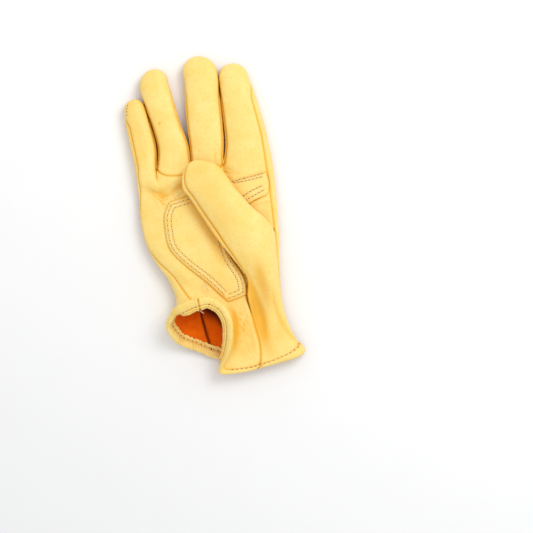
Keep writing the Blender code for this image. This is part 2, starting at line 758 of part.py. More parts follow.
def back_sheet():
    sheet = Sheet("back")
    for k in range(len(FINGERS)):
        add_finger_face(sheet, k, all_stations(k), -1)
    mouth, edge = np.linspace(0, 1, MOUTH_COLUMNS + 1), np.linspace(0, 1, EDGE_COLUMNS + 1)
    last = len(FINGERS) - 1
    sheet.add_surface(lambda u, v: wrap_point(u, v, False), mouth, all_stations(0), -1)
    sheet.add_surface(lambda u, v: wrap_point(u, v, True), edge, all_stations(last), 1)
    return sheet


def insert_edge(column):
    """The station of the seam below the ring and middle fingers: column runs from 1 to 3."""
    return 1 - INSERT_DIP * (1 - np.abs(column - 2) ** INSERT_SQUARENESS)


def palm_sheet():
    sheet = Sheet("palm")
    last = len(FINGERS) - 1
    for k in (0, last):
        add_finger_face(sheet, k, all_stations(k), 1)
    for k in range(1, last):
        def under_insert(across, row, k=k):
            return face_point(k, across, row * insert_edge(k + (1 + across) / 2), 1)

        sheet.add_surface(under_insert, finger_columns(), hand_rows(), 1)
    return sheet


def finger_insert_sheet():
    sheet = Sheet("finger_insert")
    for k in range(1, len(FINGERS) - 1):
        def base(across, row, k=k):
            return face_point(k, across, mix(insert_edge(k + (1 + across) / 2), 1, row), 1)

        sheet.add_surface(base, finger_columns(), np.linspace(0, 1, INSERT_ROWS + 1), 1)
        add_finger_face(sheet, k, 1 + finger_shares(k), 1)
    return sheet


def fourchette_sheet(k):
    """The strip between fingers k and k + 1, down one wall, round the web and up the other."""
    sides = []
    across = np.linspace(-1, 1, FOURCHETTE_COLUMNS + 1)
    for number, way in ((k, 1), (k + 1, -1)):
        u, v = np.meshgrid(across, finger_shares(number, FOURCHETTE_STOP))

        def surface(a, s, number=number, way=way):
            return facing_wall(number, a, s, way)

        points, normals = surface(u, v), outward(surface, u, v, -way)
        sides.append((points[::-1], normals[::-1]) if way > 0 else (points, normals))
    outer = np.concatenate([sides[0][0], sides[1][0]])
    normals = np.concatenate([sides[0][1], sides[1][1]])
    foot = len(sides[0][0])
    web = np.array([0.0, 1.0, 0.0])
    for row in (foot - 1, foot):
        normals[row] = unit(unit(normals[row]) + web) * np.sqrt(2)
    sheet = Sheet(f"fourchette_{FINGERS[k].name}_{FINGERS[k + 1].name}")
    sheet.add_grid(outer, normals, 1)
    return sheet


def thumb_rows(start):
    rows = hand_rows()
    root = rows[(rows > start + ROW_SPACE / 2) & (rows < THUMB_CROTCH - ROW_SPACE)]
    straight = np.linspace(THUMB_CROTCH, THUMB_CAP, THUMB_ROWS + 1)
    cap = THUMB_CAP + (1 - THUMB_CAP) * np.sin(np.linspace(0, np.pi / 2, CAP_ROWS + 2)[1:])
    return np.concatenate([[start], root, straight, cap])


def thumb_back_sheet():
    sheet = Sheet("thumb_back")
    columns = np.linspace(0, 1, THUMB_COLUMNS + 1)
    sheet.add_surface(thumb_back_point, columns, thumb_rows(0.0), 1, axis=THUMB_AXIS)
    return sheet


def thumb_front_sheet():
    sheet = Sheet("thumb_front")
    columns = np.linspace(0, 1, THUMB_COLUMNS + 1)
    sheet.add_surface(thumb_front_point, columns, thumb_rows(HOLE_START), -1, axis=THUMB_AXIS)
    return sheet


def palm_patch_sheet():
    sheet = Sheet("palm_patch")
    u, v = np.meshgrid(np.linspace(0, 1, PATCH_COLUMNS + 1), np.linspace(0, 1, PATCH_ROWS + 1))
    normals = outward(patch_point, u, v, 1)
    sheet.add_grid(patch_point(u, v) + (LAYER_GAP + PATCH_WALL) * normals, normals, 1)
    return sheet


def hem_section():
    """The hem's section: distances into the cuff, and out from the leather's outside."""
    near = HEM_GAP
    far = HEM_GAP + HEM_WALL
    half = WALL / 2

    def bend(layer):
        size = half + layer
        turns = np.radians([30, 90, 150])
        return [(-HEM_BEND - size * np.sin(t), size * np.cos(t) - half) for t in turns]

    outer = [(HEM_OUTSIDE, far), (HEM_OUTSIDE / 2, far + HEM_WALL / 4), (0, far)]
    outer += bend(far) + [(0, -WALL - far), (HEM_INSIDE, -WALL - far)]
    inner = [(HEM_OUTSIDE, near), (0, near)]
    inner += bend(near) + [(0, -WALL - near), (HEM_INSIDE, -WALL - near)]
    return outer + inner[::-1]


def cuff_angles():
    """The angles of each hem's points round the cuff: where the columns of the panels reach it."""
    thumb_side, radial, ulnar = THUMB_SIDE_SEAM[0].angle, RADIAL_SEAM[0].angle, ULNAR_SEAM[0].angle
    ends = np.linspace(0, 1, FINGER_COLUMNS + 1)
    strips = [mix(left, right, ends[:-1]) for left, right in zip(FRONT_SHARES, FRONT_SHARES[1:])]
    shares = np.concatenate(strips + [[1.0]])
    mouth = np.linspace(ulnar, 180 + WRAP_ANGLE, MOUTH_COLUMNS + 1)[:-1]
    edge = np.linspace(360 - WRAP_ANGLE, 360 + radial, EDGE_COLUMNS + 1)[1:]
    below = mix(180 + WRAP_ANGLE, 360 - WRAP_ANGLE, shares)
    return {
        "hem_palm": mix(ulnar, thumb_side, shares)[::-1],
        "hem_thumb_side": np.linspace(radial, thumb_side, THUMB_COLUMNS + 1),
        "hem_back": np.concatenate([mouth, below, edge]),
    }


def make_hem(name, angles, material, collection):
    """The length of hem over these angles of the cuff's edge."""

    def along_edge(station):
        return unit(hand(angles + EDGE_TURN, station) - hand(angles - EDGE_TURN, station))

    start = np.zeros_like(angles)
    into = (hand(angles, start + HEM_STEP) - hand(angles, start)) / HEM_STEP
    reach = np.linalg.norm(into, axis=-1)
    rings = []
    for along, out in hem_section():
        station = max(along, 0) / reach
        points = hand(angles, station)
        tangent = hand(angles, station + SMALL_STEP) - points
        normal = unit(np.cross(tangent, along_edge(station)))
        rings.append(points + unit(into) * min(along, 0) + normal * out)
    for ring in rings:
        ring[0] += along_edge(start)[0] * SEAM_GAP / 2
        ring[-1] -= along_edge(start)[-1] * SEAM_GAP / 2
    bm = bmesh.new()
    verts = [[bm.verts.new(point) for point in ring] for ring in rings]
    for a, b in zip(verts, verts[1:] + verts[:1]):
        for j in range(len(angles) - 1):
            bm.faces.new([a[j], a[j + 1], b[j + 1], b[j]])
    bm.faces.new([ring[0] for ring in verts])
    bm.faces.new([ring[-1] for ring in reversed(verts)])
    bmesh.ops.recalc_face_normals(bm, faces=bm.faces)
    bmesh.ops.triangulate(bm, faces=bm.faces)
    return finished(bm, name, material, collection)


def leather(name, colour, roughness):
    material = bpy.data.materials.new(name)
    material.use_nodes = True
    shader = material.node_tree.nodes["Principled BSDF"]
    shader.inputs["Base Color"].default_value = colour
    shader.inputs["Roughness"].default_value = roughness
    shader.inputs["Metallic"].default_value = 0.0
    return material


def main():
    for thing in list(bpy.data.objects):
        bpy.data.objects.remove(thing, do_unlink=True)
    collection = bpy.data.collections.new("gardening_glove")
    bpy.context.scene.collection.children.link(collection)
    grain = leather("grain leather", LEATHER, 0.55)
    patch = leather("patch leather", PATCH_LEATHER, 0.58)
    hem = leather("hem leather", HEM_LEATHER, 0.52)
    sheets = [back_sheet(), palm_sheet(), finger_insert_sheet(), thumb_back_sheet(), thumb_front_sheet()]
    sheets += [fourchette_sheet(k) for k in range(len(FINGERS) - 1)]
    shared = shared_normals(sheets)
    for sheet in sheets:
        sheet.make(shared, WALL, grain, collection)
    overlay = palm_patch_sheet()
    overlay.make(shared_normals([overlay]), PATCH_WALL, patch, collection)
    for name, angles in cuff_angles().items():
        make_hem(name, angles, hem, collection)


main()
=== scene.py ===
"""The looks of a leather gardening glove, lying palm up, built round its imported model.

Every leather panel is made again from the surfaces that the solids were cut from, finely enough for its
seams, creases and gathers. The grain side is yellow, the flesh side is orange suede, and the rows of
stitches, the needle holes and the loose thread ends are pieces of their own.

Sizes are in metres, with +X towards the thumb, +Y towards the fingertips and +Z up, out of the palm.
"""

import math
from collections import namedtuple

import bpy
import numpy as np
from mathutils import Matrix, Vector, kdtree, noise
from mathutils.bvhtree import BVHTree


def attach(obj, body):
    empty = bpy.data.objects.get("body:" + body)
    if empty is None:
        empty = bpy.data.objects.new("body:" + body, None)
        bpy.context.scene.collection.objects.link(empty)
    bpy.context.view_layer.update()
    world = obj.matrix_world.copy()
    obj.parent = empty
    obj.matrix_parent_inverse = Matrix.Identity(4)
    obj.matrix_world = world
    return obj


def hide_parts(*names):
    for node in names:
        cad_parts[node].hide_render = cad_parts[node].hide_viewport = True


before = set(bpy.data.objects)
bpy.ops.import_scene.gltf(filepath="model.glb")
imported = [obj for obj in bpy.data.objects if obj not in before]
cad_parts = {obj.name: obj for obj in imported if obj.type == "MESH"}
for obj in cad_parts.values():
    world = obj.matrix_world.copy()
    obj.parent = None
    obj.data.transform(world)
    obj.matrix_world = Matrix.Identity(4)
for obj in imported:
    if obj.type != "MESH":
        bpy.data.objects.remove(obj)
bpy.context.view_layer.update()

# Driving sizes of the leather
WALL = 0.0012
PATCH_WALL = 0.0012
LAYER_GAP = 0.0004

# Driving sizes of the hand
PALM_BREADTH = 0.100
PALM_LENGTH = 0.100
PALM_DEPTH = 0.0170
FINGER_LENGTH = 0.080
FINGER_DEPTH = 0.0155
NOTCH_LENGTH = 0.0055
THUMB_DEPTH = 0.0150

# Driving sizes of the cuff
CUFF_DROP = 0.050
CUFF_LENGTH = 0.060
MOUTH_HEIGHT = 0.040
HEM_INSIDE = 0.0070

# How square the sections are, how hard they press on the floor, and where their widest part is
HAND_SQUARENESS = 2.8
FINGER_SQUARENESS = 2.4
THUMB_SQUARENESS = 2.3
FLOOR_PRESS = 1.12
MIDDLE_OF_DEPTH = 0.45

# Hand sections from the cuff, 0, to the finger crotches, 1. The outline's left and right ends are
# shares of the palm's breadth and length, and depth is a share of the palm's depth.
Section = namedtuple("Section", "station left_x left_y right_x right_y depth")
HAND = (
    Section(0.00, -0.27, -0.49, 0.54, -0.97, 0.88),
    Section(0.10, -0.29, -0.46, 0.48, -0.83, 0.92),
    Section(0.20, -0.33, -0.39, 0.465, -0.65, 0.96),
    Section(0.30, -0.385, -0.27, 0.480, -0.47, 1.00),
    Section(0.40, -0.44, -0.15, 0.505, -0.30, 1.00),
    Section(0.50, -0.48, -0.03, 0.530, -0.15, 1.00),
    Section(0.66, -0.495, 0.165, 0.555, 0.06, 0.98),
    Section(0.84, -0.474, 0.373, 0.572, 0.27, 0.95),
    Section(1.00, -0.465, 0.56, 0.582, 0.455, 0.92),
)
KNUCKLE_START = 0.86

# Seams of the hand, as angles round its section: 0 is the thumb's edge, 90 the middle of the palm
# and 180 the little finger's edge.
Seam = namedtuple("Seam", "station angle")
ULNAR_SEAM = (
    Seam(0.0, 138),
    Seam(0.1, 139),
    Seam(0.2, 140),
    Seam(0.3, 142),
    Seam(0.4, 155),
    Seam(0.5, 168),
    Seam(0.7, 170),
    Seam(0.85, 160),
    Seam(1.0, 146),
)
RADIAL_SEAM = (
    Seam(0.0, -10),
    Seam(0.2, 2),
    Seam(0.3, 14),
    Seam(0.4, 23),
    Seam(0.55, 29),
    Seam(0.7, 31),
    Seam(0.85, 33),
    Seam(1.0, 35),
)
# The palm's seam with the thumb's upper piece, which runs on as the edge of the thumb hole
THUMB_SIDE_SEAM = (
    Seam(0.0, 35),
    Seam(0.08, 47),
    Seam(0.15, 58),
    Seam(0.235, 67),
    Seam(0.31, 62),
    Seam(0.39, 52),
    Seam(0.47, 42),
    Seam(0.55, 31),
)
HOLE_START = 0.30
THUMB_CROTCH = 0.57
WRAP_ANGLE = 45

# The cuff's edge: an angle round the hand, a share of the palm's breadth across, a share of the
# cuff's length along, and a share of the mouth's height up
Rim = namedtuple("Rim", "angle across along height")
CUFF_RIM = (
    Rim(0, 0.565, -0.86, 0.190),
    Rim(10, 0.535, -0.895, 0.305),
    Rim(33, 0.230, -0.98, 0.335),
    Rim(50, 0.064, -0.995, 0.345),
    Rim(66, -0.086, -0.94, 0.375),
    Rim(79, -0.016, -0.725, 0.53),
    Rim(93, 0.029, -0.515, 0.70),
    Rim(106, 0.044, -0.30, 0.85),
    Rim(117, 0.007, -0.13, 0.95),
    Rim(128, -0.074, -0.02, 1.00),
    Rim(138, -0.152, -0.01, 0.99),
    Rim(155, -0.281, -0.05, 0.90),
    Rim(171, -0.375, -0.125, 0.73),
    Rim(184, -0.418, -0.255, 0.53),
    Rim(198, -0.398, -0.42, 0.34),
    Rim(212, -0.341, -0.52, 0.20),
    Rim(234, -0.222, -0.64, 0.105),
    Rim(253, -0.127, -0.74, 0.078),
    Rim(275, 0.020, -0.84, 0.078),
    Rim(310, 0.270, -0.91, 0.078),
    Rim(340, 0.480, -0.92, 0.078),
    Rim(352, 0.550, -0.88, 0.095),
)
FLARE_END = 0.30
FLARE_SHARPNESS = 2.2

# The gathers of the mouth's rim, between two angles: how many, how deep, and how far into the cuff
GATHER_START = 126
GATHER_END = 232
GATHERS = 4
GATHER_DEPTH = 0.0006
GATHER_REACH = 0.16

# Each finger's left and right sides, at shares of the finger length above the crotches
Side = namedtuple("Side", "reach left right")
Finger = namedtuple("Finger", "name tip depth lean sides")
FINGERS = (
    Finger("little", 0.69, 0.87, 0.06, (
        Side(0.0, -0.465, -0.305),
        Side(0.2, -0.474, -0.279),
        Side(0.4, -0.480, -0.289),
        Side(0.6, -0.478, -0.312),
    )),
    Finger("ring", 0.965, 0.97, 0.14, (
        Side(0.0, -0.305, -0.039),
        Side(0.2, -0.269, -0.033),
        Side(0.4, -0.279, -0.066),
        Side(0.6, -0.306, -0.084),
        Side(0.8, -0.326, -0.104),
    )),
    Finger("middle", 1.062, 1.00, -0.10, (
        Side(0.0, -0.039, 0.205),
        Side(0.2, -0.025, 0.239),
        Side(0.4, -0.018, 0.257),
        Side(0.6, -0.002, 0.270),
        Side(0.8, 0.019, 0.286),
    )),
    Finger("index", 0.968, 1.00, -0.04, (
        Side(0.0, 0.205, 0.582),
        Side(0.2, 0.248, 0.579),
        Side(0.4, 0.262, 0.566),
        Side(0.6, 0.270, 0.546),
        Side(0.8, 0.284, 0.514),
    )),
)
# At the crotches all fingers have the knuckles' depth and lean, and at this share their own
KNUCKLE_DEPTH = 0.97
KNUCKLE_FADE = 0.5
# Where the palm panel is shared out between the fingers
FRONT_SHARES = (0.0, 0.145, 0.419, 0.671, 1.0)
# The seams along the fingers' outer edges, and those with the fourchettes, further round
OUTER_SEAM_ANGLE = 46
FINGER_SEAM_ANGLE = 24
FOURCHETTE_TAPER = 0.60
FOURCHETTE_END = 0.88
FOURCHETTE_STOP = 0.82
TIP_ROUNDNESS = 1.05

# The seam under the ring and middle fingers dips this far below the crotches, in hand stations
INSERT_DIP = 0.055
INSERT_SQUARENESS = 6

# The thumb's seam on its left and its folded edge on its right, from the cuff, 0, to its tip, 1:
# shares of the palm's breadth, the palm's length and the thumb's depth above the patch
Edge = namedtuple("Edge", "station x y lift")
THUMB_SEAM = (
    Edge(0.20, 0.235, -0.62, 0.00),
    Edge(0.31, 0.195, -0.38, 0.22),
    Edge(0.39, 0.145, -0.255, 0.32),
    Edge(0.47, 0.090, -0.135, 0.34),
    Edge(0.55, 0.045, -0.030, 0.38),
    Edge(0.64, -0.005, 0.085, 0.42),
    Edge(0.73, -0.052, 0.195, 0.44),
    Edge(0.82, -0.094, 0.290, 0.46),
    Edge(0.91, -0.150, 0.368, 0.46),
    Edge(1.00, -0.180, 0.475, 0.46),
)
THUMB_EDGE = (
    Edge(0.50, 0.500, -0.100, 0.02),
    Edge(0.57, 0.455, 0.020, 0.20),
    Edge(0.64, 0.385, 0.105, 0.30),
    Edge(0.73, 0.305, 0.220, 0.34),
    Edge(0.82, 0.240, 0.335, 0.36),
    Edge(0.91, 0.180, 0.490, 0.38),
    Edge(1.00, 0.092, 0.600, 0.46),
)
Crown = namedtuple("Crown", "station lift")
THUMB_CROWN = (
    Crown(0.20, 0.12),
    Crown(0.31, 0.50),
    Crown(0.39, 0.76),
    Crown(0.47, 0.94),
    Crown(0.55, 1.06),
    Crown(0.64, 1.12),
    Crown(0.73, 1.12),
    Crown(0.82, 1.08),
    Crown(0.91, 1.00),
    Crown(1.00, 0.90),
)
# The seam lies round on top of the thumb's left side, so that the front piece shows as a lip outside
# it, and the right edge is folded lower down
THUMB_SEAM_ANGLE = 36
THUMB_EDGE_ANGLE = 15
THUMB_LIP = 0.078
THUMB_SEAM_RISE = 0.42
THUMB_CAP = 0.82
THUMB_ROOT = (0.17, 0.31)
THUMB_LIFT_OFF = (0.17, 0.24)
THUMB_SWING = (0.23, 0.32)
THUMB_EDGE_LIFT_OFF = (0.52, 0.60)
BUTT = 0.0024
BUTT_TURN = 6
BUTT_START = (0.36, 0.46)
BUTT_END = (0.62, 0.72)
THUMB_AXIS = (-0.40, 0.92, 0.0)

# The patch's left and right edges on the palm: side is a share of the hand's half breadth
PatchEdge = namedtuple("PatchEdge", "share side station")
PATCH_LEFT = (
    PatchEdge(0.0, -0.01, 0.195),
    PatchEdge(0.15, -0.15, 0.222),
    PatchEdge(0.3, -0.31, 0.275),
    PatchEdge(0.45, -0.53, 0.36),
    PatchEdge(0.6, -0.665, 0.46),
    PatchEdge(0.75, -0.665, 0.59),
    PatchEdge(0.88, -0.64, 0.69),
    PatchEdge(1.0, -0.56, 0.775),
)
PATCH_RIGHT = (
    PatchEdge(0.0, 0.40, 0.240),
    PatchEdge(0.15, 0.38, 0.315),
    PatchEdge(0.35, 0.23, 0.43),
    PatchEdge(0.55, 0.22, 0.565),
    PatchEdge(0.72, 0.43, 0.67),
    PatchEdge(0.80, 0.66, 0.735),
    PatchEdge(0.85, 0.88, 0.782),
    PatchEdge(0.88, 0.90, 0.82),
    PatchEdge(1.0, 0.89, 0.93),
)

# Folds of the palm: ends as shares of the palm's breadth and length, width of the breadth, and rise
# as a share of the palm's depth, below 0 for a crease and above it for a roll
Fold = namedtuple("Fold", "x0 y0 x1 y1 width rise")
PALM_FOLDS = (
    Fold(-0.44, 0.38, -0.30, 0.34, 0.035, -0.12),
    Fold(-0.30, 0.34, -0.10, 0.38, 0.035, -0.12),
    Fold(-0.32, 0.43, -0.10, 0.44, 0.050, 0.08),
    Fold(-0.41, -0.06, -0.22, -0.33, 0.050, 0.10),
    Fold(0.30, -0.78, 0.34, -0.45, 0.060, -0.14),
    Fold(0.40, -0.86, 0.43, -0.45, 0.050, 0.10),
)

SMALL_STEP = 1e-3
WELD = 1e-5


def through(rows, column, at):
    """A smooth curve through one column of a table, read at the given stations."""
    stations = np.array([row[0] for row in rows], float)
    values = np.array([getattr(row, column) for row in rows], float)
    slopes = np.gradient(values, stations)
    at = np.clip(np.asarray(at, float), stations[0], stations[-1])
    i = np.clip(np.searchsorted(stations, at, side="right") - 1, 0, len(rows) - 2)
    step = stations[i + 1] - stations[i]
    u = (at - stations[i]) / step
    start = values[i] * (1 + 2 * u) * (1 - u) ** 2 + slopes[i] * step * u * (1 - u) ** 2
    end = values[i + 1] * (3 - 2 * u) * u**2 - slopes[i + 1] * step * u**2 * (1 - u)
    return start + end


def ease(x, low, high):
    """0 below low, 1 above high and a smooth step between."""
    u = np.clip((np.asarray(x, float) - low) / (high - low), 0, 1)
    return u * u * (3 - 2 * u)


def mix(a, b, share):
    return a + (b - a) * share


def joined(*parts):
    return np.stack(np.broadcast_arrays(*parts), axis=-1)


def unit(vectors):
    return vectors / np.maximum(np.linalg.norm(vectors, axis=-1, keepdims=True), 1e-12)


def rounded_square(angle, squareness):
    """The side and the rise, each from -1 to 1, of a rounded square at this angle in degrees."""
    c, s = np.cos(np.radians(angle)), np.sin(np.radians(angle))
    size = (np.abs(c) ** squareness + np.abs(s) ** squareness) ** (-1 / squareness)
    return c * size, s * size


def angle_of_side(side, squareness):
    """The angle, in the upper half, at which a rounded square has this side."""
    rise = np.maximum(1 - np.abs(side) ** squareness, 0) ** (1 / squareness)
    return np.degrees(np.arctan2(rise, side))


def lying(rise, depth, fullness=1.0):
    """The height of a section that lies on the floor and is pressed flat by it."""
    middle = MIDDLE_OF_DEPTH * depth
    above = (depth - middle) * rise
    below = middle * np.maximum(FLOOR_PRESS * rise, -1)
    return middle + fullness * np.where(rise > 0, above, below)


def rim(angle):
    """The cuff's edge at this angle round the hand."""
    before = tuple(row._replace(angle=row.angle - 360) for row in CUFF_RIM)
    after = tuple(row._replace(angle=row.angle + 360) for row in CUFF_RIM)
    rows = before + CUFF_RIM + after
    across = through(rows, "across", angle) * PALM_BREADTH
    along = through(rows, "along", angle) * CUFF_LENGTH - CUFF_DROP
    return joined(across, along, through(rows, "height", angle) * MOUTH_HEIGHT)


def gathers(angle, station):
    """How far the gathers of the mouth's rim stand out here."""
    share = np.clip((np.mod(angle, 360) - GATHER_START) / (GATHER_END - GATHER_START), 0, 1)
    wave = np.sin(2 * np.pi * GATHERS * share) * np.sin(np.pi * share)
    return GATHER_DEPTH * wave * (1 - ease(station, 0, GATHER_REACH))


def folds(x, y):
    """How far the palm's folds lift it at a point."""
    lift = np.zeros_like(x)
    for fold in PALM_FOLDS:
        start = np.array([fold.x0 * PALM_BREADTH, fold.y0 * PALM_LENGTH])
        run = np.array([fold.x1 * PALM_BREADTH, fold.y1 * PALM_LENGTH]) - start
        share = np.clip(((x - start[0]) * run[0] + (y - start[1]) * run[1]) / (run @ run), 0, 1)
        away = np.hypot(x - start[0] - share * run[0], y - start[1] - share * run[1])
        lift = lift + fold.rise * PALM_DEPTH * np.exp(-((away / (fold.width * PALM_BREADTH)) ** 2))
    return lift


def hand(angle, station):
    """A point of the hand's outside, from the cuff's edge at station 0 to the crotches at 1."""
    side, rise = rounded_square(angle, HAND_SQUARENESS)
    left_x = through(HAND, "left_x", station) * PALM_BREADTH
    left_y = through(HAND, "left_y", station) * PALM_LENGTH
    right_x = through(HAND, "right_x", station) * PALM_BREADTH
    right_y = through(HAND, "right_y", station) * PALM_LENGTH
    x = mix(left_x, right_x, (1 + side) / 2)
    y = mix(left_y, right_y, (1 + side) / 2)
    z = lying(rise, through(HAND, "depth", station) * PALM_DEPTH)
    z = z + folds(x, y) * np.clip(rise, 0, 1)
    flare = np.clip(1 - np.asarray(station, float) / FLARE_END, 0, 1) ** FLARE_SHARPNESS
    out = unit(joined(side, 0, rise)) * gathers(angle, station)[..., None]
    return mix(joined(x, y, z), rim(angle), flare[..., None]) + out


def palm_edge_angle(station):
    """The angle of the palm panel's right edge: beside the thumb, then the radial seam."""
    beside_thumb = through(THUMB_SIDE_SEAM, "angle", station)
    radial = through(RADIAL_SEAM, "angle", station)
    return mix(beside_thumb, radial, ease(station, THUMB_SIDE_SEAM[-1].station, THUMB_CROTCH))


def spread(left, right, share, station):
    """An angle between two seams: even along the rim, and even across the hand further in."""
    left_side = rounded_square(left, HAND_SQUARENESS)[0]
    right_side = rounded_square(right, HAND_SQUARENESS)[0]
    even = angle_of_side(mix(left_side, right_side, share), HAND_SQUARENESS)
    return mix(mix(left, right, share), even, ease(station, 0, FLARE_END))


def hand_under(k, across, station, up):
    """The hand's own surface below finger k: on the palm where up is 1, on the back where it is -1."""
    share = mix(FRONT_SHARES[k], FRONT_SHARES[k + 1], (1 + across) / 2)
    if up > 0:
        left, right = through(ULNAR_SEAM, "angle", station), palm_edge_angle(station)
        return hand(spread(left, right, share, station), station)
    return hand(-spread(180 - WRAP_ANGLE, WRAP_ANGLE, share, station), station)


def finger_sides(finger, reach):
    left = through(finger.sides, "left", reach) * PALM_BREADTH
    right = through(finger.sides, "right", reach) * PALM_BREADTH
    return left, right


def crotch_line(x):
    """How far along the hand the line of the crotches is, here."""
    left, right = HAND[-1].left_x * PALM_BREADTH, HAND[-1].right_x * PALM_BREADTH
    low, high = HAND[-1].left_y * PALM_LENGTH, HAND[-1].right_y * PALM_LENGTH
    return mix(low, high, (x - left) / (right - left))


def cap_share(finger):
    """The share of a finger's length that its rounded tip takes."""
    left, right = finger_sides(finger, finger.tip)
    return TIP_ROUNDNESS * (right - left) / 2 / (finger.tip * FINGER_LENGTH)


def finger_point(k, across, rise, share):
    """A point of finger k at a share of its length, with across from -1 to 1 over its width."""
    finger = FINGERS[k]
    reach = share * finger.tip
    left, right = finger_sides(finger, reach)
    middle, half = (left + right) / 2, (right - left) / 2
    cap = cap_share(finger)
    fullness = np.sqrt(np.maximum(1 - np.clip((share - 1 + cap) / cap, 0, 1) ** 2, 0))
    x = middle + half * across * fullness
    settled = ease(share, 0, KNUCKLE_FADE)
    slope = mix(crotch_line(1.0) - crotch_line(0.0), finger.lean, settled)
    y = crotch_line(middle) + reach * FINGER_LENGTH + slope * (x - middle)
    depth = mix(KNUCKLE_DEPTH, finger.depth, settled) * FINGER_DEPTH
    return joined(x, y, lying(rise, depth, fullness))


def seam_angle(share, outer=False):
    """A finger seam's angle above or below its middle: the seams close up before the fingertip."""
    widest = OUTER_SEAM_ANGLE if outer else FINGER_SEAM_ANGLE
    return widest * (1 - ease(share, FOURCHETTE_TAPER, FOURCHETTE_END))


def notch_side(k, share, angle):
    """How far out a finger's wall stands at this angle: neighbours meet at the foot of the notch."""
    wall = rounded_square(np.abs(angle), FINGER_SQUARENESS)[0]
    length = NOTCH_LENGTH / (FINGERS[k].tip * FINGER_LENGTH)
    foot = length * np.clip(1 - (angle / FINGER_SEAM_ANGLE) ** 2, 0, 1)
    u = np.clip((share - foot) / length, 0, 1)
    return 1 - (1 - wall) * np.sqrt(np.maximum(1 - (1 - u) ** 2, 0))


def face_point(k, across, station, up):
    """A point of the front, up 1, or the back, up -1, of finger k and of the hand below it.

    Across runs from -1 to 1 over the finger, and the station from the cuff, 0, past the crotches, 1,
    to the fingertip, 2.
    """
    across, station = np.broadcast_arrays(np.asarray(across, float), np.asarray(station, float))
    share = np.clip(station - 1, 0, 1)
    walls, sides = [], []
    for outer in (k == 0, k == len(FINGERS) - 1):
        seam = seam_angle(share, outer)
        walls.append(rounded_square(seam, FINGER_SQUARENESS)[0])
        sides.append(walls[-1] if outer else notch_side(k, share, seam))
    angle = angle_of_side(mix(-walls[0], walls[1], (1 + across) / 2), FINGER_SQUARENESS)
    rise = up * rounded_square(angle, FINGER_SQUARENESS)[1]
    finger = finger_point(k, mix(-sides[0], sides[1], (1 + across) / 2), rise, share)
    below = hand_under(k, across, np.minimum(station, 1), up)
    top = hand_under(k, across, np.ones_like(station), up)
    knuckle = ease(station, KNUCKLE_START, 1)[..., None]
    return np.where(station[..., None] > 1, finger, below + knuckle * (finger - top))


def wrap_point(turn, station, right_side):
    """A point where the back rolls round an edge of the hand, from the front seam, 0, to below, 1."""
    turn, station = np.broadcast_arrays(np.asarray(turn, float), np.asarray(station, float))
    seam = through(RADIAL_SEAM if right_side else ULNAR_SEAM, "angle", np.minimum(station, 1))
    end_seam = through(RADIAL_SEAM if right_side else ULNAR_SEAM, "angle", 1.0)
    below_angle = -WRAP_ANGLE if right_side else 180 + WRAP_ANGLE
    share = np.clip(station - 1, 0, 1)
    finger_angle = seam_angle(share, True) * (1 - 2 * turn)
    if not right_side:
        finger_angle = 180 - finger_angle
    k = len(FINGERS) - 1 if right_side else 0
    finger = finger_point(k, *rounded_square(finger_angle, FINGER_SQUARENESS), share)
    below = hand(mix(seam, below_angle, turn), np.minimum(station, 1))
    top = hand(mix(end_seam, below_angle, turn), np.ones_like(station))
    knuckle = ease(station, KNUCKLE_START, 1)[..., None]
    return np.where(station[..., None] > 1, finger, below + knuckle * (finger - top))


def facing_wall(k, across, share, way):
    """A point of a wall inside a gap, between the back seam, -1, and the front seam, 1.

    Way is 1 for finger k's right wall and -1 for its left. The middle of the strip starts higher, where
    the web between the fingers is.
    """
    angle = across * seam_angle(share)
    foot = NOTCH_LENGTH / (FINGERS[k].tip * FINGER_LENGTH) * np.clip(1 - across**2, 0, 1)
    higher = share + foot * (1 - share / FOURCHETTE_STOP)
    rise = rounded_square(angle, FINGER_SQUARENESS)[1]
    return finger_point(k, way * notch_side(k, higher, angle), rise, higher)


def thumb_floor():
    """The height at which the folded thumb rests on the patch."""
    return PALM_DEPTH + PATCH_WALL + 2 * LAYER_GAP


def thumb_edge_point(edge, station):
    x = through(edge, "x", station) * PALM_BREADTH
    y = through(edge, "y", station) * PALM_LENGTH
    return joined(x, y, thumb_floor() + through(edge, "lift", station) * THUMB_DEPTH)


def thumb_crown(station):
    return thumb_floor() + through(THUMB_CROWN, "lift", station) * THUMB_DEPTH


def thumb_left(station):
    """The thumb's left seam: the palm's edge near the cuff, then up over the palm to the tip."""
    on_palm = hand(palm_edge_angle(np.minimum(station, 1)), np.minimum(station, 1))
    outline, edge = thumb_edge_point(THUMB_SEAM, station), thumb_edge_point(THUMB_EDGE, station)
    inside = mix(outline, edge, THUMB_LIP)
    height = mix(outline[..., 2], thumb_crown(station), THUMB_SEAM_RISE)
    above = joined(inside[..., 0], inside[..., 1], height)
    swing, lift = ease(station, *THUMB_SWING), ease(station, *THUMB_LIFT_OFF)
    return mix(on_palm, above, joined(swing, swing, lift))


def thumb_right(station, root):
    """The thumb's right edge: the given root line, then the thumb's own folded side."""
    above = thumb_edge_point(THUMB_EDGE, station)
    return mix(root, above, ease(station, *THUMB_EDGE_LIFT_OFF)[..., None])


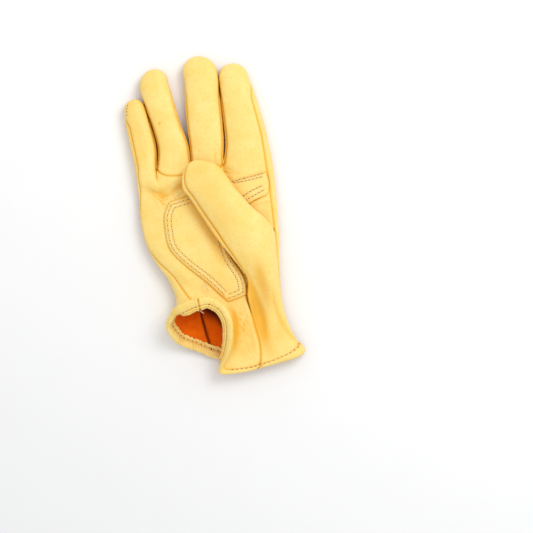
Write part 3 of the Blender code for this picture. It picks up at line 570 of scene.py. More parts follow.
def thumb_arch(left, right, angle, height, station):
    """A point of an arch from a left edge to a right edge, drawn together at the thumb's tip."""
    seam_side, seam_rise = rounded_square(180 - THUMB_SEAM_ANGLE, THUMB_SQUARENESS)
    edge_side, edge_rise = rounded_square(THUMB_EDGE_ANGLE, THUMB_SQUARENESS)
    side, rise = rounded_square(angle, THUMB_SQUARENESS)
    across = (side - seam_side) / (edge_side - seam_side)
    chord = mix(left, right, across[..., None])
    end_rise = mix(seam_rise, edge_rise, across)
    above, below = (rise - end_rise) / (1 - end_rise), (end_rise - rise) / (1 + end_rise)
    share = np.where(rise > end_rise, above, below)
    z = mix(chord[..., 2], height, share)
    cap = np.clip((station - THUMB_CAP) / (1 - THUMB_CAP), 0, 1)
    fullness = np.sqrt(np.maximum(1 - cap**2, 0))[..., None]
    middle = (left + right) / 2
    return middle + fullness * (joined(chord[..., 0], chord[..., 1], z) - middle)


def thumb_back_point(across, station):
    """A point of the thumb's upper piece and the side of the hand below it."""
    across, station = np.broadcast_arrays(np.asarray(across, float), np.asarray(station, float))
    angle = mix(180 - THUMB_SEAM_ANGLE, THUMB_EDGE_ANGLE, across)
    in_hand = np.minimum(station, 1)
    seam = through(RADIAL_SEAM, "angle", in_hand)
    right = thumb_right(station, hand(seam, in_hand))
    arch = thumb_arch(thumb_left(station), right, angle, thumb_crown(station), station)
    palm_edge = palm_edge_angle(in_hand)
    on_hand = hand(mix(palm_edge, seam, across), in_hand)
    lifted = (thumb_left(station) - hand(palm_edge, in_hand)) * ((1 - across) ** 2)[..., None]
    return mix(on_hand + lifted, arch, ease(station, *THUMB_ROOT)[..., None])


def thumb_front_point(across, station):
    """A point of the thumb's lower piece, from its left seam under to the hole or the right edge."""
    across, station = np.broadcast_arrays(np.asarray(across, float), np.asarray(station, float))
    angle = mix(180 - THUMB_SEAM_ANGLE, 360 + THUMB_EDGE_ANGLE, across)
    in_hand = np.minimum(station, 1)
    turn = BUTT_TURN * ease(station, *BUTT_START)
    hole = hand(palm_edge_angle(in_hand) + turn, in_hand) + np.array([0, 0, 2 * LAYER_GAP])
    butt = BUTT * ease(station, *THUMB_EDGE_LIFT_OFF) * (1 - ease(station, *BUTT_END))
    right = thumb_right(station, hole) - joined(butt, 0, 0)
    under = thumb_floor() * np.ones_like(station)
    return thumb_arch(thumb_left(station), right, angle, under, station)


def patch_point(across, along):
    """A point of the palm, inside the patch's outline."""
    side = mix(through(PATCH_LEFT, "side", along), through(PATCH_RIGHT, "side", along), across)
    left, right = through(PATCH_LEFT, "station", along), through(PATCH_RIGHT, "station", along)
    return hand(angle_of_side(side, HAND_SQUARENESS), mix(left, right, across))


def outward(surface, u, v, turn, axis=(0.0, 1.0, 0.0)):
    """Unit normals of a surface over a grid: v runs down the rows. At a closed tip they follow axis."""
    u_step, v_step = SMALL_STEP * np.ptp(u), SMALL_STEP * np.ptp(v)
    u_ends = np.maximum(u - u_step, u.min()), np.minimum(u + u_step, u.max())
    v_ends = np.maximum(v - v_step, v.min()), np.minimum(v + v_step, v.max())
    over_u = surface(u_ends[1], v) - surface(u_ends[0], v)
    over_v = surface(u, v_ends[1]) - surface(u, v_ends[0])
    cross = turn * np.cross(over_u, over_v)
    closed = np.linalg.norm(over_u, axis=-1, keepdims=True) < 1e-9
    return unit(np.where(closed, np.array(axis), cross))


# How finely the leather is divided
FINGER_COLUMNS = 26
MOUTH_COLUMNS = 56
EDGE_COLUMNS = 16
FOURCHETTE_COLUMNS = 14
PATCH_COLUMNS = 70
PATCH_ROWS = 120
THUMB_COLUMNS = 44
CUFF_ROWS = 44
HAND_ROWS = 70
KNUCKLE_ROWS = 20
INSERT_ROWS = 10
NOTCH_ROWS = 7
FINGER_ROWS = 60
CAP_ROWS = 16
THUMB_ROWS = 44
CROWDING = 0.9

# The seams: how deep the leather dives into one, how wide the dive is, and the roll beside it
SEAM_DEPTH = 0.00085
SEAM_WIDTH = 0.0008
ROLL_HEIGHT = 0.00025
ROLL_PLACE = 0.0030
ROLL_WIDTH = 0.0016

# Slow unevenness of the leather: how far it goes, over what distance, and over what distance from a
# seam, from the rim and from the floor it grows
UNEVEN = 0.00030
UNEVEN_SIZE = 0.014
PUCKER = 0.00010
PUCKER_SIZE = 0.0035
EVEN_AT_SEAM = (0.0, 0.004)
EVEN_AT_RIM = (0.003, 0.010)
EVEN_AT_FLOOR = (0.0005, 0.004)

# Creases: how level the leather lies where they show, where they begin beside a seam, how deep a
# crease and a valley are where their painted shade is deepest, and the shares of painted shade
CREASED_TOP = (0.2, 0.6)
CREASE_FREE = (0.0002, 0.0022)
CREASE_FULL = 0.0014
VALLEY_FULL = 0.0011
CREASE_SHADE = 0.85
SEAM_SHADE = 0.8
FACING_DOWN = (0.0, 0.4)
ON_RIM = 0.0001

# The gathers beside the hem: between which angles, and how far from the rim
RUFFLE_PITCH = 0.0026
RUFFLE_DEPTH = 0.00028
RUFFLE_WOBBLE = 0.006
RUFFLE_PATCH = 0.008
RUFFLE_ANGLES = (66, 215, 15)
RUFFLE_REACH = (0.003, 0.007, 0.008)

# The hem: its stitches' distance from the fold, the slit under it, and how far it puffs out
HEM_STITCH = 0.0040
HEM_TUCK = 0.0003
HEM_PUFF = 0.0013
HEM_PINCH_WIDTH = 0.0012
HEM_CUT_RISE = 0.0004
HEM_STEPS = 12
HEM_STEP = 0.02
HEM_SPACING = 0.00045
EDGE_TURN = 0.05

# The hem's gathers along the rim: pitch, wave, and the noises that roughen them
HEM_GATHER_PITCH = 0.0024
PLEATS_AT = 146
PLEATS_SPREAD = 9
GATHER_WAVE = 0.00018
GATHER_ROUGH = 0.00030
GATHER_SMALL = 0.00018
GATHER_CRUMPLE = 0.00025
RAGGED_EDGE = 0.0011
# The width of the painted shade along the hem's pinched stitch line
PINCH_SHADE_WIDTH = 0.0009
HemNoise = namedtuple("HemNoise", "name size seed")
HEM_NOISES = (
    HemNoise("rough", 0.0045, 0.3),
    HemNoise("small", 0.0016, 2.1),
    HemNoise("ragged", 0.0022, 4.3),
    HemNoise("crumple", 0.0011, 6.3),
    HemNoise("patchy", 0.0075, 8.9),
)

# Where two lengths of hem are sewn together: a swelling at some distance, then a nick darkened with
# painted shade
JOIN_SWELL = 0.16
JOIN_SWELL_AT = 0.0018
JOIN_SWELL_WIDTH = 0.0011
JOIN_NICK = 0.22
JOIN_NICK_WIDTH = 0.0005
JOIN_SHADE_WIDTH = 0.0006

# A stitch: its share of the pitch, and how far it arches up from where its ends are sunk
THREAD_SIZE = 0.0010
THREAD_SIDES = 6
STITCH_SHARE = 0.62
STITCH_POINTS = 6
STITCH_ARCH = 0.75
STITCH_SUNK = 0.35
STITCH_END = 0.55

# A needle hole, turned by a direction that no normal has
HOLE_SIZE = 0.00050
HOLE_SIDES = 8
HOLE_RISE = 0.18
HOLE_TURN = (0.31, 0.87, 0.38)

# The rows of stitches: pitch, and where they run
ROW_POINTS = 60
HEM_PITCH = 0.0036
HEM_ROW_ANGLES = (-9, 350, 1200)
HEM_ROW_BACK = 0.0003
HEM_ROW_OUT = 0.001
PATCH_PITCH = 0.0038
INDEX_PITCH = 0.0030
INDEX_SHARE = 0.72
TIP_PITCH = 0.0026
TIP_SHARE = 0.45
TIP_REACH = (0.80, 0.985)
TIP_TURN = (-0.86, -0.55)
TIP_ROUND = 0.9
PATCH_ROWS_IN = (0.0026, 0.0056)
PATCH_ROWS_UP = 0.002
BARE_OF_THUMB = (0.024, 0.0)
SHORTEST_RUN = 8
OUTLINE_STEPS = 240
INSET_KEPT = 0.96
INSET_BREAK = 0.004
PALM_HEIGHT = 0.018

# Loose ends of thread, point by point
THREAD_END_STEPS = 24
THREAD_END_ROUNDS = 6
THREAD_END_SIZE = 0.42
THREAD_END_UP = (0.2, 0.1, 1.0)
THREAD_ENDS = (
    (
        (-0.0095, -0.0375, 0.0205),
        (-0.0080, -0.0400, 0.0225),
        (-0.0078, -0.0430, 0.0225),
        (-0.0070, -0.0450, 0.0210),
    ),
    (
        (-0.0165, -0.0560, 0.0360),
        (-0.0150, -0.0580, 0.0350),
        (-0.0138, -0.0600, 0.0330),
        (-0.0130, -0.0605, 0.0310),
    ),
)

# The camera and the middle of its view
CAMERA_PLACE = (0.0397, -0.0340)
CAMERA_HEIGHT = 1.2
CAMERA_SENSOR = 36
VIEW_LEVEL = 0.008
VIEW_WIDTH = 0.4104
PHOTO_TURN = 10

# The light: soft boxes and what they are turned to, and a white world
Lamp = namedtuple("Lamp", "place energy size")
LAMPS = (
    Lamp((0.60, 0.40, 1.0), 6, 0.6),
    Lamp((-0.1, 0.1, 1.6), 2, 1.2),
)
LIT_PLACE = (0.02, 0, 0)
WORLD_LIGHT = 0.82

# The floor, and the painted shade by which its white falls off towards one side
FLOOR_SIZE = 4
FLOOR_DROP = 0.0002
FLOOR_SHADE_WAY = (-0.62, -0.78, 0.0)
FLOOR_SHADE_FALL = (-0.10, 0.26, 0, 1)
FLOOR_FAINT = (0.3, 0.7, 0, 0.03)
WHITE_FLOOR = (0.92, 0.92, 0.92)
NEAR_FLOOR = (0.90, 0.90, 0.90)
SHADED_FAR_FLOOR = (0.805, 0.81, 0.815)
GREY_FLOOR = (0.6, 0.6, 0.6)

# Colours of the leather's two faces and of their painted shade, the threads, and the painted shade of
# the needle holes
LIGHT_GRAIN = (0.91, 0.70, 0.24)
DARK_GRAIN = (0.90, 0.64, 0.17)
# The deep colour serves the pebbles' hollows, and the painted shade of creases, seams and wrinkles
DEEP_GRAIN = (0.80, 0.39, 0.010)
SHADED_GRAIN = (0.94, 0.48, 0.010)
DEEPEST_SHADE_GRAIN = (0.40, 0.13, 0.006)
LIGHT_SUEDE = (1.0, 0.20, 0.001)
DARK_SUEDE = (0.90, 0.135, 0.001)
SHADED_SUEDE = (0.10, 0.012, 0.001)
CREAM_THREAD = (0.80, 0.68, 0.48)
LIGHT_THREAD = (0.82, 0.64, 0.34)
DARK_THREAD = (0.64, 0.45, 0.20)
HOLE_SHADE = (0.16, 0.07, 0.015)
HOLE_RIM_SHADE = (0.34, 0.15, 0.025)
HOLE_DEEP_SHADE = (0.19, 0.08, 0.015)

# Noises of the materials: scale, detail and roughness, where they aren't the usual ones
GRAIN_TONE = (70, 4)
GRAIN_FINE = (600, 2)
GRAIN_ROUGH = (420, 5, 0.6)
PEBBLE_SCALE = 620
SUEDE_TONE = (130, 6, 0.7)
SUEDE_NAP = (2200, 3, 0.7)
THREAD_TONE = (1500, 2)
THREAD_TWIST = (5000, 2)
HOLE_TONE = (2500, 2)
FLOOR_TONE = (30,)
WRINKLE_TONE = (1.0, 2)

# What a noise or a shade is spread to: from low and high, to low and high
EVEN_SPREAD = (0.35, 0.65, 0, 1)
FINE_SPREAD = (0.35, 0.7, 0, 0.3)
PEBBLE_SPREAD = (0.45, 0.85, 0, 0.16)
SHADE_SPREAD = (0.86, 0.30, 0, 1)
DEEPEST_SHADE_SPREAD = (0.50, 0.16, 0, 1)
GLOSS_SPREAD = (0, 0.5, 0.46, 0.60)
WRINKLE_SPREAD = (0.50, 0.70, 0, 0.9)

# Bumps: strength, and the height they stand for
WRINKLE_BUMP = (-0.8, 0.0008)
PEBBLE_BUMP = (-0.6, 0.0005)
GRAIN_BUMP = (0.5, 0.0006)
NAP_BUMP = (0.5, 0.0004)
TWIST_BUMP = (0.5, 0.0002)

# How far a fold is searched for shade, and the wrinkles' turn and size
SHADE_REACH = 0.011
SHADE_SAMPLES = 8
WRINKLE_TURN = -63
WRINKLE_SIZE = (0.0050, 0.0013, 0.0100)

# Faces that meet more steeply than this keep a sharp edge
SHARP_ANGLE = math.radians(55)

# Creases of the palm side: each line's points with its half width and depth there in metres
Crease = namedtuple("Crease", "line x y width depth")
CREASES = (
    Crease("pillow", -0.0460, 0.0450, 0.0008, 0.0001),
    Crease("pillow", -0.0398, 0.0406, 0.0010, 0.0005),
    Crease("pillow", -0.0356, 0.0370, 0.0012, 0.0008),
    Crease("pillow", -0.0306, 0.0337, 0.0012, 0.0008),
    Crease("pillow", -0.0270, 0.0328, 0.0012, 0.0007),
    Crease("pillow", -0.0213, 0.0349, 0.0012, 0.0008),
    Crease("pillow", -0.0165, 0.0372, 0.0013, 0.0010),
    Crease("pillow", -0.0110, 0.0385, 0.0014, 0.0011),
    Crease("below_pillow", -0.0435, 0.0395, 0.0006, 0.0002),
    Crease("below_pillow", -0.0384, 0.0372, 0.0008, 0.0005),
    Crease("below_pillow", -0.0353, 0.0348, 0.0009, 0.0007),
    Crease("below_pillow", -0.0316, 0.0300, 0.0009, 0.0008),
    Crease("below_pillow", -0.0285, 0.0293, 0.0008, 0.0006),
    Crease("below_pillow", -0.0240, 0.0303, 0.0007, 0.0004),
    Crease("left_wrinkle", -0.0430, 0.0355, 0.0006, 0.0001),
    Crease("left_wrinkle", -0.0375, 0.0325, 0.0007, 0.0004),
    Crease("left_wrinkle", -0.0340, 0.0290, 0.0006, 0.0001),
    Crease("low_wrinkle", -0.0335, 0.0278, 0.0006, 0.0002),
    Crease("low_wrinkle", -0.0284, 0.0267, 0.0006, 0.0003),
    Crease("lowest_wrinkle", -0.0400, 0.0262, 0.0006, 0.0001),
    Crease("lowest_wrinkle", -0.0326, 0.0240, 0.0007, 0.0002),
    Crease("fan_a", -0.0250, 0.0314, 0.0006, 0.0003),
    Crease("fan_a", -0.0175, 0.0345, 0.0008, 0.0006),
    Crease("fan_b", -0.0216, 0.0290, 0.0006, 0.0003),
    Crease("fan_b", -0.0138, 0.0330, 0.0008, 0.0006),
    Crease("notch", 0.0164, 0.0597, 0.0008, 0.0002),
    Crease("notch", 0.0150, 0.0540, 0.0009, 0.0006),
    Crease("notch", 0.0158, 0.0490, 0.0009, 0.0008),
    Crease("notch", 0.0190, 0.0474, 0.0009, 0.0009),
    Crease("notch", 0.0221, 0.0496, 0.0009, 0.0006),
    Crease("index_a", 0.0199, 0.0431, 0.0008, 0.0006),
    Crease("index_a", 0.0229, 0.0419, 0.0009, 0.0008),
    Crease("index_a", 0.0262, 0.0402, 0.0008, 0.0003),
    Crease("index_b", 0.0219, 0.0460, 0.0008, 0.0005),
    Crease("index_b", 0.0252, 0.0440, 0.0008, 0.0003),
    Crease("index_c", 0.0260, 0.0422, 0.0008, 0.0005),
    Crease("index_c", 0.0297, 0.0424, 0.0008, 0.0002),
    Crease("index_d", 0.0276, 0.0402, 0.0008, 0.0005),
    Crease("index_d", 0.0315, 0.0402, 0.0008, 0.0002),
    Crease("index_e", 0.0210, 0.0385, 0.0010, 0.0008),
    Crease("index_e", 0.0245, 0.0362, 0.0010, 0.0007),
    Crease("index_low", 0.0352, 0.0112, 0.0008, 0.0005),
    Crease("index_low", 0.0408, 0.0142, 0.0008, 0.0004),
    Crease("index_low", 0.0508, 0.0140, 0.0008, 0.0004),
)
# The valley right of the palm's seam with the thumb's piece, and the ridge left of it
VALLEYS = (
    Crease("cuff", 0.0235, -0.0360, 0.0024, 0.0004),
    Crease("cuff", 0.0258, -0.0500, 0.0034, 0.0013),
    Crease("cuff", 0.0270, -0.0620, 0.0044, 0.0016),
    Crease("cuff", 0.0278, -0.0760, 0.0048, 0.0016),
    Crease("cuff", 0.0286, -0.0880, 0.0046, 0.0011),
    Crease("cuff", 0.0300, -0.1000, 0.0044, 0.0003),
    Crease("fold", 0.0417, -0.0472, 0.0016, 0.0002),
    Crease("fold", 0.0408, -0.0619, 0.0018, 0.0006),
    Crease("fold", 0.0432, -0.0772, 0.0018, 0.0006),
    Crease("fold", 0.0498, -0.0920, 0.0016, 0.0004),
    Crease("fold", 0.0548, -0.0996, 0.0012, 0.0001),
    Crease("wrist", 0.0330, -0.0250, 0.0040, 0.0001),
    Crease("wrist", 0.0335, -0.0400, 0.0050, 0.0009),
    Crease("wrist", 0.0350, -0.0560, 0.0050, 0.0007),
    Crease("wrist", 0.0370, -0.0700, 0.0050, 0.0001),
)
# The wrinkled valley right of the mouth's roll
MOUTH_VALLEY = (
    Crease("mouth", 0.0060, -0.0590, 0.0018, 0.0003),
    Crease("mouth", 0.0089, -0.0655, 0.0020, 0.0009),
    Crease("mouth", 0.0094, -0.0730, 0.0022, 0.0011),
    Crease("mouth", 0.0084, -0.0810, 0.0024, 0.0010),
    Crease("mouth", 0.0058, -0.0890, 0.0024, 0.0008),
    Crease("mouth", 0.0030, -0.0960, 0.0022, 0.0003),
)
# Painted shade on the thumb, the little finger and the cuff, the thumb's painted shadow on the patch,
# and one blemish: where the colour deepens, with that colour's share as depth
SHADE_AND_BLEMISH = (
    Crease("blemish", -0.0220, 0.0881, 0.0009, 0.90),
    Crease("blemish", -0.0218, 0.0886, 0.0009, 0.90),
    Crease("thumb", 0.0040, 0.0460, 0.0090, 0.30),
    Crease("thumb", 0.0100, 0.0290, 0.0100, 0.28),
    Crease("thumb", 0.0160, 0.0140, 0.0110, 0.28),
    Crease("thumb", 0.0200, 0.0020, 0.0110, 0.02),
    Crease("little", -0.0440, 0.1050, 0.0070, 0.15),
    Crease("little", -0.0400, 0.0850, 0.0080, 0.30),
    Crease("little", -0.0400, 0.0600, 0.0080, 0.12),
    Crease("cuff", 0.0000, -0.0400, 0.0100, 0.10),
    Crease("cuff", 0.0120, -0.0700, 0.0090, 0.30),
    Crease("cuff", 0.0130, -0.0900, 0.0090, 0.24),
    Crease("thumb_side", 0.0400, -0.0780, 0.0090, 0.12),
    Crease("thumb_side", 0.0400, -0.0850, 0.0090, 0.25),
    Crease("patch", -0.0100, 0.0250, 0.0040, 0.25),
    Crease("patch", 0.0020, -0.0030, 0.0045, 0.60),
    Crease("patch", 0.0090, -0.0250, 0.0040, 0.40),
)
# Where short slanting wrinkles lie, with their strength as depth
WRINKLED = (
    Crease("mouth", 0.0110, -0.0600, 0.0040, 0.3),
    Crease("mouth", 0.0140, -0.0700, 0.0055, 1.0),
    Crease("mouth", 0.0140, -0.0830, 0.0060, 0.9),
    Crease("mouth", 0.0120, -0.0940, 0.0055, 0.5),
    Crease("knuckles", -0.0400, 0.0360, 0.0050, 0.4),
    Crease("knuckles", -0.0300, 0.0290, 0.0055, 0.7),
    Crease("knuckles", -0.0180, 0.0310, 0.0040, 0.5),
    Crease("index", 0.0210, 0.0440, 0.0035, 0.7),
    Crease("index", 0.0280, 0.0410, 0.0035, 0.5),
)
RIDGES = (
    Crease("cuff", 0.0190, -0.0540, 0.0018, 0.0002),
    Crease("cuff", 0.0203, -0.0660, 0.0022, 0.0007),
    Crease("cuff", 0.0212, -0.0780, 0.0024, 0.0008),
    Crease("cuff", 0.0222, -0.0920, 0.0024, 0.0006),
    Crease("cuff", 0.0228, -0.1020, 0.0024, 0.0003),
    Crease("hand", 0.0540, 0.0900, 0.0012, 0.0003),
    Crease("hand", 0.0556, 0.0600, 0.0012, 0.0004),
    Crease("hand", 0.0556, 0.0300, 0.0012, 0.0004),
)
# The seam that shows inside the mouth, on the flesh side of the back, and painted shade beside it and in
# the mouth's depth
INNER_SEAM = (
    Crease("seam", -0.0165, -0.0560, 0.0010, 0.0014),
    Crease("seam", -0.0166, -0.0643, 0.0011, 0.0014),
    Crease("seam", -0.0153, -0.0778, 0.0012, 0.0013),
    Crease("seam", -0.0128, -0.0947, 0.0011, 0.0012),
    Crease("shade", -0.0131, -0.0565, 0.0060, 0.0),
    Crease("shade", -0.0035, -0.0645, 0.0055, 0.0),
    Crease("shade", -0.0005, -0.0720, 0.0034, 0.0),
)

# The hem where it stands open round the mouth: how far its roll reaches back from the fold, how
# high the roll is, and how far its stitches and its cut edge lie in front of the fold
OpenHem = namedtuple("OpenHem", "angle back height stitch edge")
OPEN_HEM = (
    OpenHem(60, 0.0040, 0.0012, 0.0016, 0.0030),
    OpenHem(80, 0.0046, 0.0020, 0.0020, 0.0046),
    OpenHem(100, 0.0050, 0.0022, 0.0022, 0.0054),
    OpenHem(120, 0.0046, 0.0021, 0.0028, 0.0062),
    OpenHem(138, 0.0042, 0.0022, 0.0038, 0.0068),
    OpenHem(155, 0.0042, 0.0024, 0.0044, 0.0078),
    OpenHem(175, 0.0042, 0.0022, 0.0044, 0.0078),
)
CREST_LIFT = 0.0012
ALLOWANCE_BULGE = 0.0008
ALLOWANCE_FALL = 0.0018
CUT_EDGE = 0.0009
UNDER_FRONT = 0.0014
UNDER_FALL = 0.0030
UNDER_ARCH = 0.0034
MOUTH_MIDDLE = np.array([-0.016, -0.074, 0.0])
OPEN_START = (62, 76)
OPEN_END = (150, 176)

# Rows of stitches across the base of the index finger
StitchPoint = namedtuple("StitchPoint", "row x y")
INDEX_STITCHES = (
    StitchPoint("a", 0.0250, 0.0372),
    StitchPoint("a", 0.0350, 0.0366),
    StitchPoint("a", 0.0455, 0.0377),
    StitchPoint("a", 0.0520, 0.0384),
    StitchPoint("b", 0.0262, 0.0335),
    StitchPoint("b", 0.0351, 0.0334),
    StitchPoint("b", 0.0439, 0.0340),
    StitchPoint("b", 0.0514, 0.0348),
    StitchPoint("c", 0.0315, 0.0222),
    StitchPoint("c", 0.0385, 0.0252),
    StitchPoint("c", 0.0506, 0.0284),
    StitchPoint("d", 0.0325, 0.0186),
    StitchPoint("d", 0.0380, 0.0207),
    StitchPoint("d", 0.0508, 0.0251),
)


def crowded(low, high, count):
    """Values from low to high, closer together at both ends, where the seams are."""
    turns = np.linspace(-1, 1, count + 1)
    waves = np.sin(turns * CROWDING * np.pi / 2) / np.sin(CROWDING * np.pi / 2)
    return mix(low, high, (1 + waves) / 2)


def hand_rows():
    """Stations of the hand's rows, closer together at the rim and at the crotches."""
    cuff = FLARE_END * np.linspace(0, 1, CUFF_ROWS + 1) ** 1.25
    middle = np.linspace(FLARE_END, KNUCKLE_START, HAND_ROWS + 1)[1:]
    knuckles = mix(KNUCKLE_START, 1, np.sin(np.linspace(0, 1, KNUCKLE_ROWS + 1)[1:] * np.pi / 2))
    return np.concatenate([cuff, middle, knuckles])


def finger_shares(k, up_to=1.0):
    """Shares of finger k's length for its rows: the notch, the straight part and the round tip."""
    length = NOTCH_LENGTH / (FINGERS[k].tip * FINGER_LENGTH)
    notch = length * np.linspace(0, 1, NOTCH_ROWS + 1) ** 2
    straight = np.linspace(length, FOURCHETTE_STOP, FINGER_ROWS + 1)[1:]
    start = 1 - cap_share(FINGERS[k])
    turns = np.linspace(0, np.pi / 2, CAP_ROWS + 1)[1:]
    cap = start + (1 - start) * np.sin(turns)
    shares = np.concatenate([notch, straight, cap[cap > FOURCHETTE_STOP + 0.005]])
    return shares[shares <= up_to + 1e-9]


def all_stations(k):
    return np.concatenate([hand_rows(), 1 + finger_shares(k)[1:]])


class Sheet:
    """A leather panel's outside, joined from grids that meet edge to edge, with its normals."""

    def __init__(self, name):
        self.name = name
        self.points = []
        self.normals = []
        self.quads = []
        self.count = 0

    def add_grid(self, points, normals, turn):
        """Adds a grid of quads: turn is -1 where the rows and columns run left-handed."""
        rows, columns = points.shape[:2]
        first = np.arange(rows * columns).reshape(rows, columns)[:-1, :-1].ravel() + self.count
        quads = np.stack([first, first + 1, first + columns + 1, first + columns], axis=1)
        self.quads.append(quads[:, ::turn])
        self.points.append(points.reshape(-1, 3))
        self.normals.append(normals.reshape(-1, 3))
        self.count += rows * columns

    def add_surface(self, surface, columns, rows, turn, axis=(0.0, 1.0, 0.0)):
        u, v = np.meshgrid(columns, rows)
        self.add_grid(surface(u, v), outward(surface, u, v, turn, axis), turn)

    def weld(self):
        """Joins the grids where they meet and finds the sheet's edge."""
        points, normals = np.concatenate(self.points), np.concatenate(self.normals)
        keys = np.round(points / WELD).astype(np.int64)
        _, first, inverse = np.unique(keys, axis=0, return_index=True, return_inverse=True)
        inverse = inverse.ravel()
        self.p = points[first]
        self.n = np.zeros_like(self.p)
        np.add.at(self.n, inverse, normals)
        self.n = unit(self.n)
        self.keys = keys[first]
        faces = [list(dict.fromkeys(face)) for face in inverse[np.concatenate(self.quads)].tolist()]
        self.faces = [face for face in faces if len(face) > 2]
        directed = {}
        for face in self.faces:
            for a, b in zip(face, face[1:] + face[:1]):
                directed[(a, b)] = True
        self.edge = [(a, b) for a, b in directed if (b, a) not in directed]


def shared_normals(sheets):
    """Gives the points where panels meet one normal, the mean over all of them."""
    keys = np.concatenate([sheet.keys for sheet in sheets])
    normals = np.concatenate([sheet.n for sheet in sheets])
    _, inverse = np.unique(keys, axis=0, return_inverse=True)
    inverse = inverse.ravel()
    total = np.zeros((inverse.max() + 1, 3))
    np.add.at(total, inverse, normals)
    shared = unit(total)[inverse]
    start = 0
    for sheet in sheets:
        sheet.n = shared[start:start + len(sheet.keys)]
        start += len(sheet.keys)


def tree_of(points):
    tree = kdtree.KDTree(len(points))
    for i, point in enumerate(points):
        tree.insert(point, i)
    tree.balance()
    return tree


def nearest(tree, points):
    """The distance to, and the number of, the tree's point nearest to each point."""
    found = [tree.find(point)[1:] for point in points]
    return np.array([f[1] for f in found]), np.array([f[0] for f in found])


RIM_ANGLES = np.arange(0, 360, 0.5)
RIM_POINTS = hand(RIM_ANGLES, np.zeros_like(RIM_ANGLES))
RIM_TREE = tree_of(RIM_POINTS)
RIM_STEPS = np.linalg.norm(np.roll(RIM_POINTS, -1, axis=0) - RIM_POINTS, axis=1)
RIM_LENGTHS = np.concatenate([[0], np.cumsum(RIM_STEPS)[:-1]])


def window(x, low, high, soft):
    """1 between low and high, easing to 0 over soft on either side."""
    return ease(x, low - soft, low) * (1 - ease(x, high, high + soft))


def grooves(x, y, table):
    """The depth of the deepest of a table's creases at each point, and how near their middle it is."""
    depth, middle = np.zeros(len(x)), np.zeros(len(x))
    for a, b in zip(table, table[1:]):
        if a.line != b.line:
            continue
        run = np.array([b.x - a.x, b.y - a.y])
        share = np.clip(((x - a.x) * run[0] + (y - a.y) * run[1]) / (run @ run), 0, 1)
        away = np.hypot(x - a.x - share * run[0], y - a.y - share * run[1])
        near = np.exp(-((away / mix(a.width, b.width, share)) ** 2))
        depth = np.maximum(depth, mix(a.depth, b.depth, share) * near)
        middle = np.maximum(middle, near)
    return depth, middle


def speckle(points, size, seed):
    """Smooth noise from -1 to 1 at each point, over the given distance."""
    shift = Vector((seed * 7.3, seed * 3.1, seed * 5.7))
    return np.array([noise.noise(Vector(point) / size + shift) for point in points])


# Which creases, valleys and ridges shape which pieces
SHAPED_BY = {
    "palm": (CREASES, MOUTH_VALLEY, RIDGES),
    "finger_insert": (CREASES, (), ()),
    "back": ((), (), RIDGES),
    "thumb_back": ((), VALLEYS, ()),
}


def creased(name, p, n):
    """How far the creases of the palm side push the leather in at each point, and their painted shade.
    """
    x, y = p[:, 0], p[:, 1]
    sharp, valley, ridge = (grooves(x, y, table)[0] for table in SHAPED_BY.get(name, ((), (), ())))
    top = ease(n[:, 2], *CREASED_TOP)
    dark = np.clip(sharp / CREASE_FULL + valley / VALLEY_FULL, 0, 1)
    return (sharp + valley - ridge) * top, dark * top


def ruffled(p):
    """How far the gathers near the cuff's edge lift the leather at each point."""
    away, number = nearest(RIM_TREE, p)
    angle = RIM_ANGLES[number]
    length = RIM_LENGTHS[number]
    wobble = speckle(p, RUFFLE_WOBBLE, 3)
    wave = np.sin(2 * np.pi * length / RUFFLE_PITCH + 2.4 * wobble)
    patchy = np.clip(0.6 + 1.2 * speckle(p, RUFFLE_PATCH, 5), 0, 1.3)
    place = window(angle, *RUFFLE_ANGLES) * window(away, *RUFFLE_REACH)
    return away, RUFFLE_DEPTH * wave * patchy * place


def dress(sheet):
    """Works out a panel's outside with its seams, creases and gathers, and its painted shade at each
    point.
    """
    rim_away, ruffle = ruffled(sheet.p)
    edge_numbers = sorted({i for pair in sheet.edge for i in pair})
    seam_numbers = [i for i in edge_numbers if rim_away[i] > ON_RIM]
    away, _ = nearest(tree_of(sheet.p[seam_numbers]), sheet.p)
    dive = SEAM_DEPTH * np.exp(-((away / SEAM_WIDTH) ** 2))
    roll = ROLL_HEIGHT * np.exp(-(((away - ROLL_PLACE) / ROLL_WIDTH) ** 2))
    crease, dark = creased(sheet.name, sheet.p, sheet.n)
    crease = crease * ease(away, *CREASE_FREE)
    uneven = UNEVEN * speckle(sheet.p, UNEVEN_SIZE, 1) + PUCKER * speckle(sheet.p, PUCKER_SIZE, 2)
    uneven = uneven * ease(away, *EVEN_AT_SEAM) * ease(rim_away, *EVEN_AT_RIM)
    uneven = uneven * ease(sheet.p[:, 2], *EVEN_AT_FLOOR)
    sheet.out = roll - dive - crease + ruffle + uneven
    upward = ease(sheet.n[:, 2], *CREASED_TOP)
    # Painted shade: deeper colour in the seams' dives, in creases and valleys, and over the listed
    # shaded patches
    shade_and_blemish = grooves(sheet.p[:, 0], sheet.p[:, 1], SHADE_AND_BLEMISH)[0] * upward
    sheet.depth = np.clip(dive / SEAM_DEPTH * SEAM_SHADE + CREASE_SHADE * dark + shade_and_blemish, 0, 1)
    sheet.wrinkled = grooves(sheet.p[:, 0], sheet.p[:, 1], WRINKLED)[0] * upward
    # The flesh side's painted shade: beside the inner seam and in the deep of the mouth
    sheet.inside, sheet.dark = inner_seam(sheet.p, sheet.n)
    sheet.inside = sheet.inside + crease * ease(away, *EVEN_AT_SEAM)


def inner_seam(p, n):
    """The ridge of the seam inside the mouth, and the painted shade beside it and deeper in the mouth.
    """
    ridge, dark = grooves(p[:, 0], p[:, 1], INNER_SEAM)
    below = ease(-n[:, 2], *FACING_DOWN)
    return ridge * below, dark * below


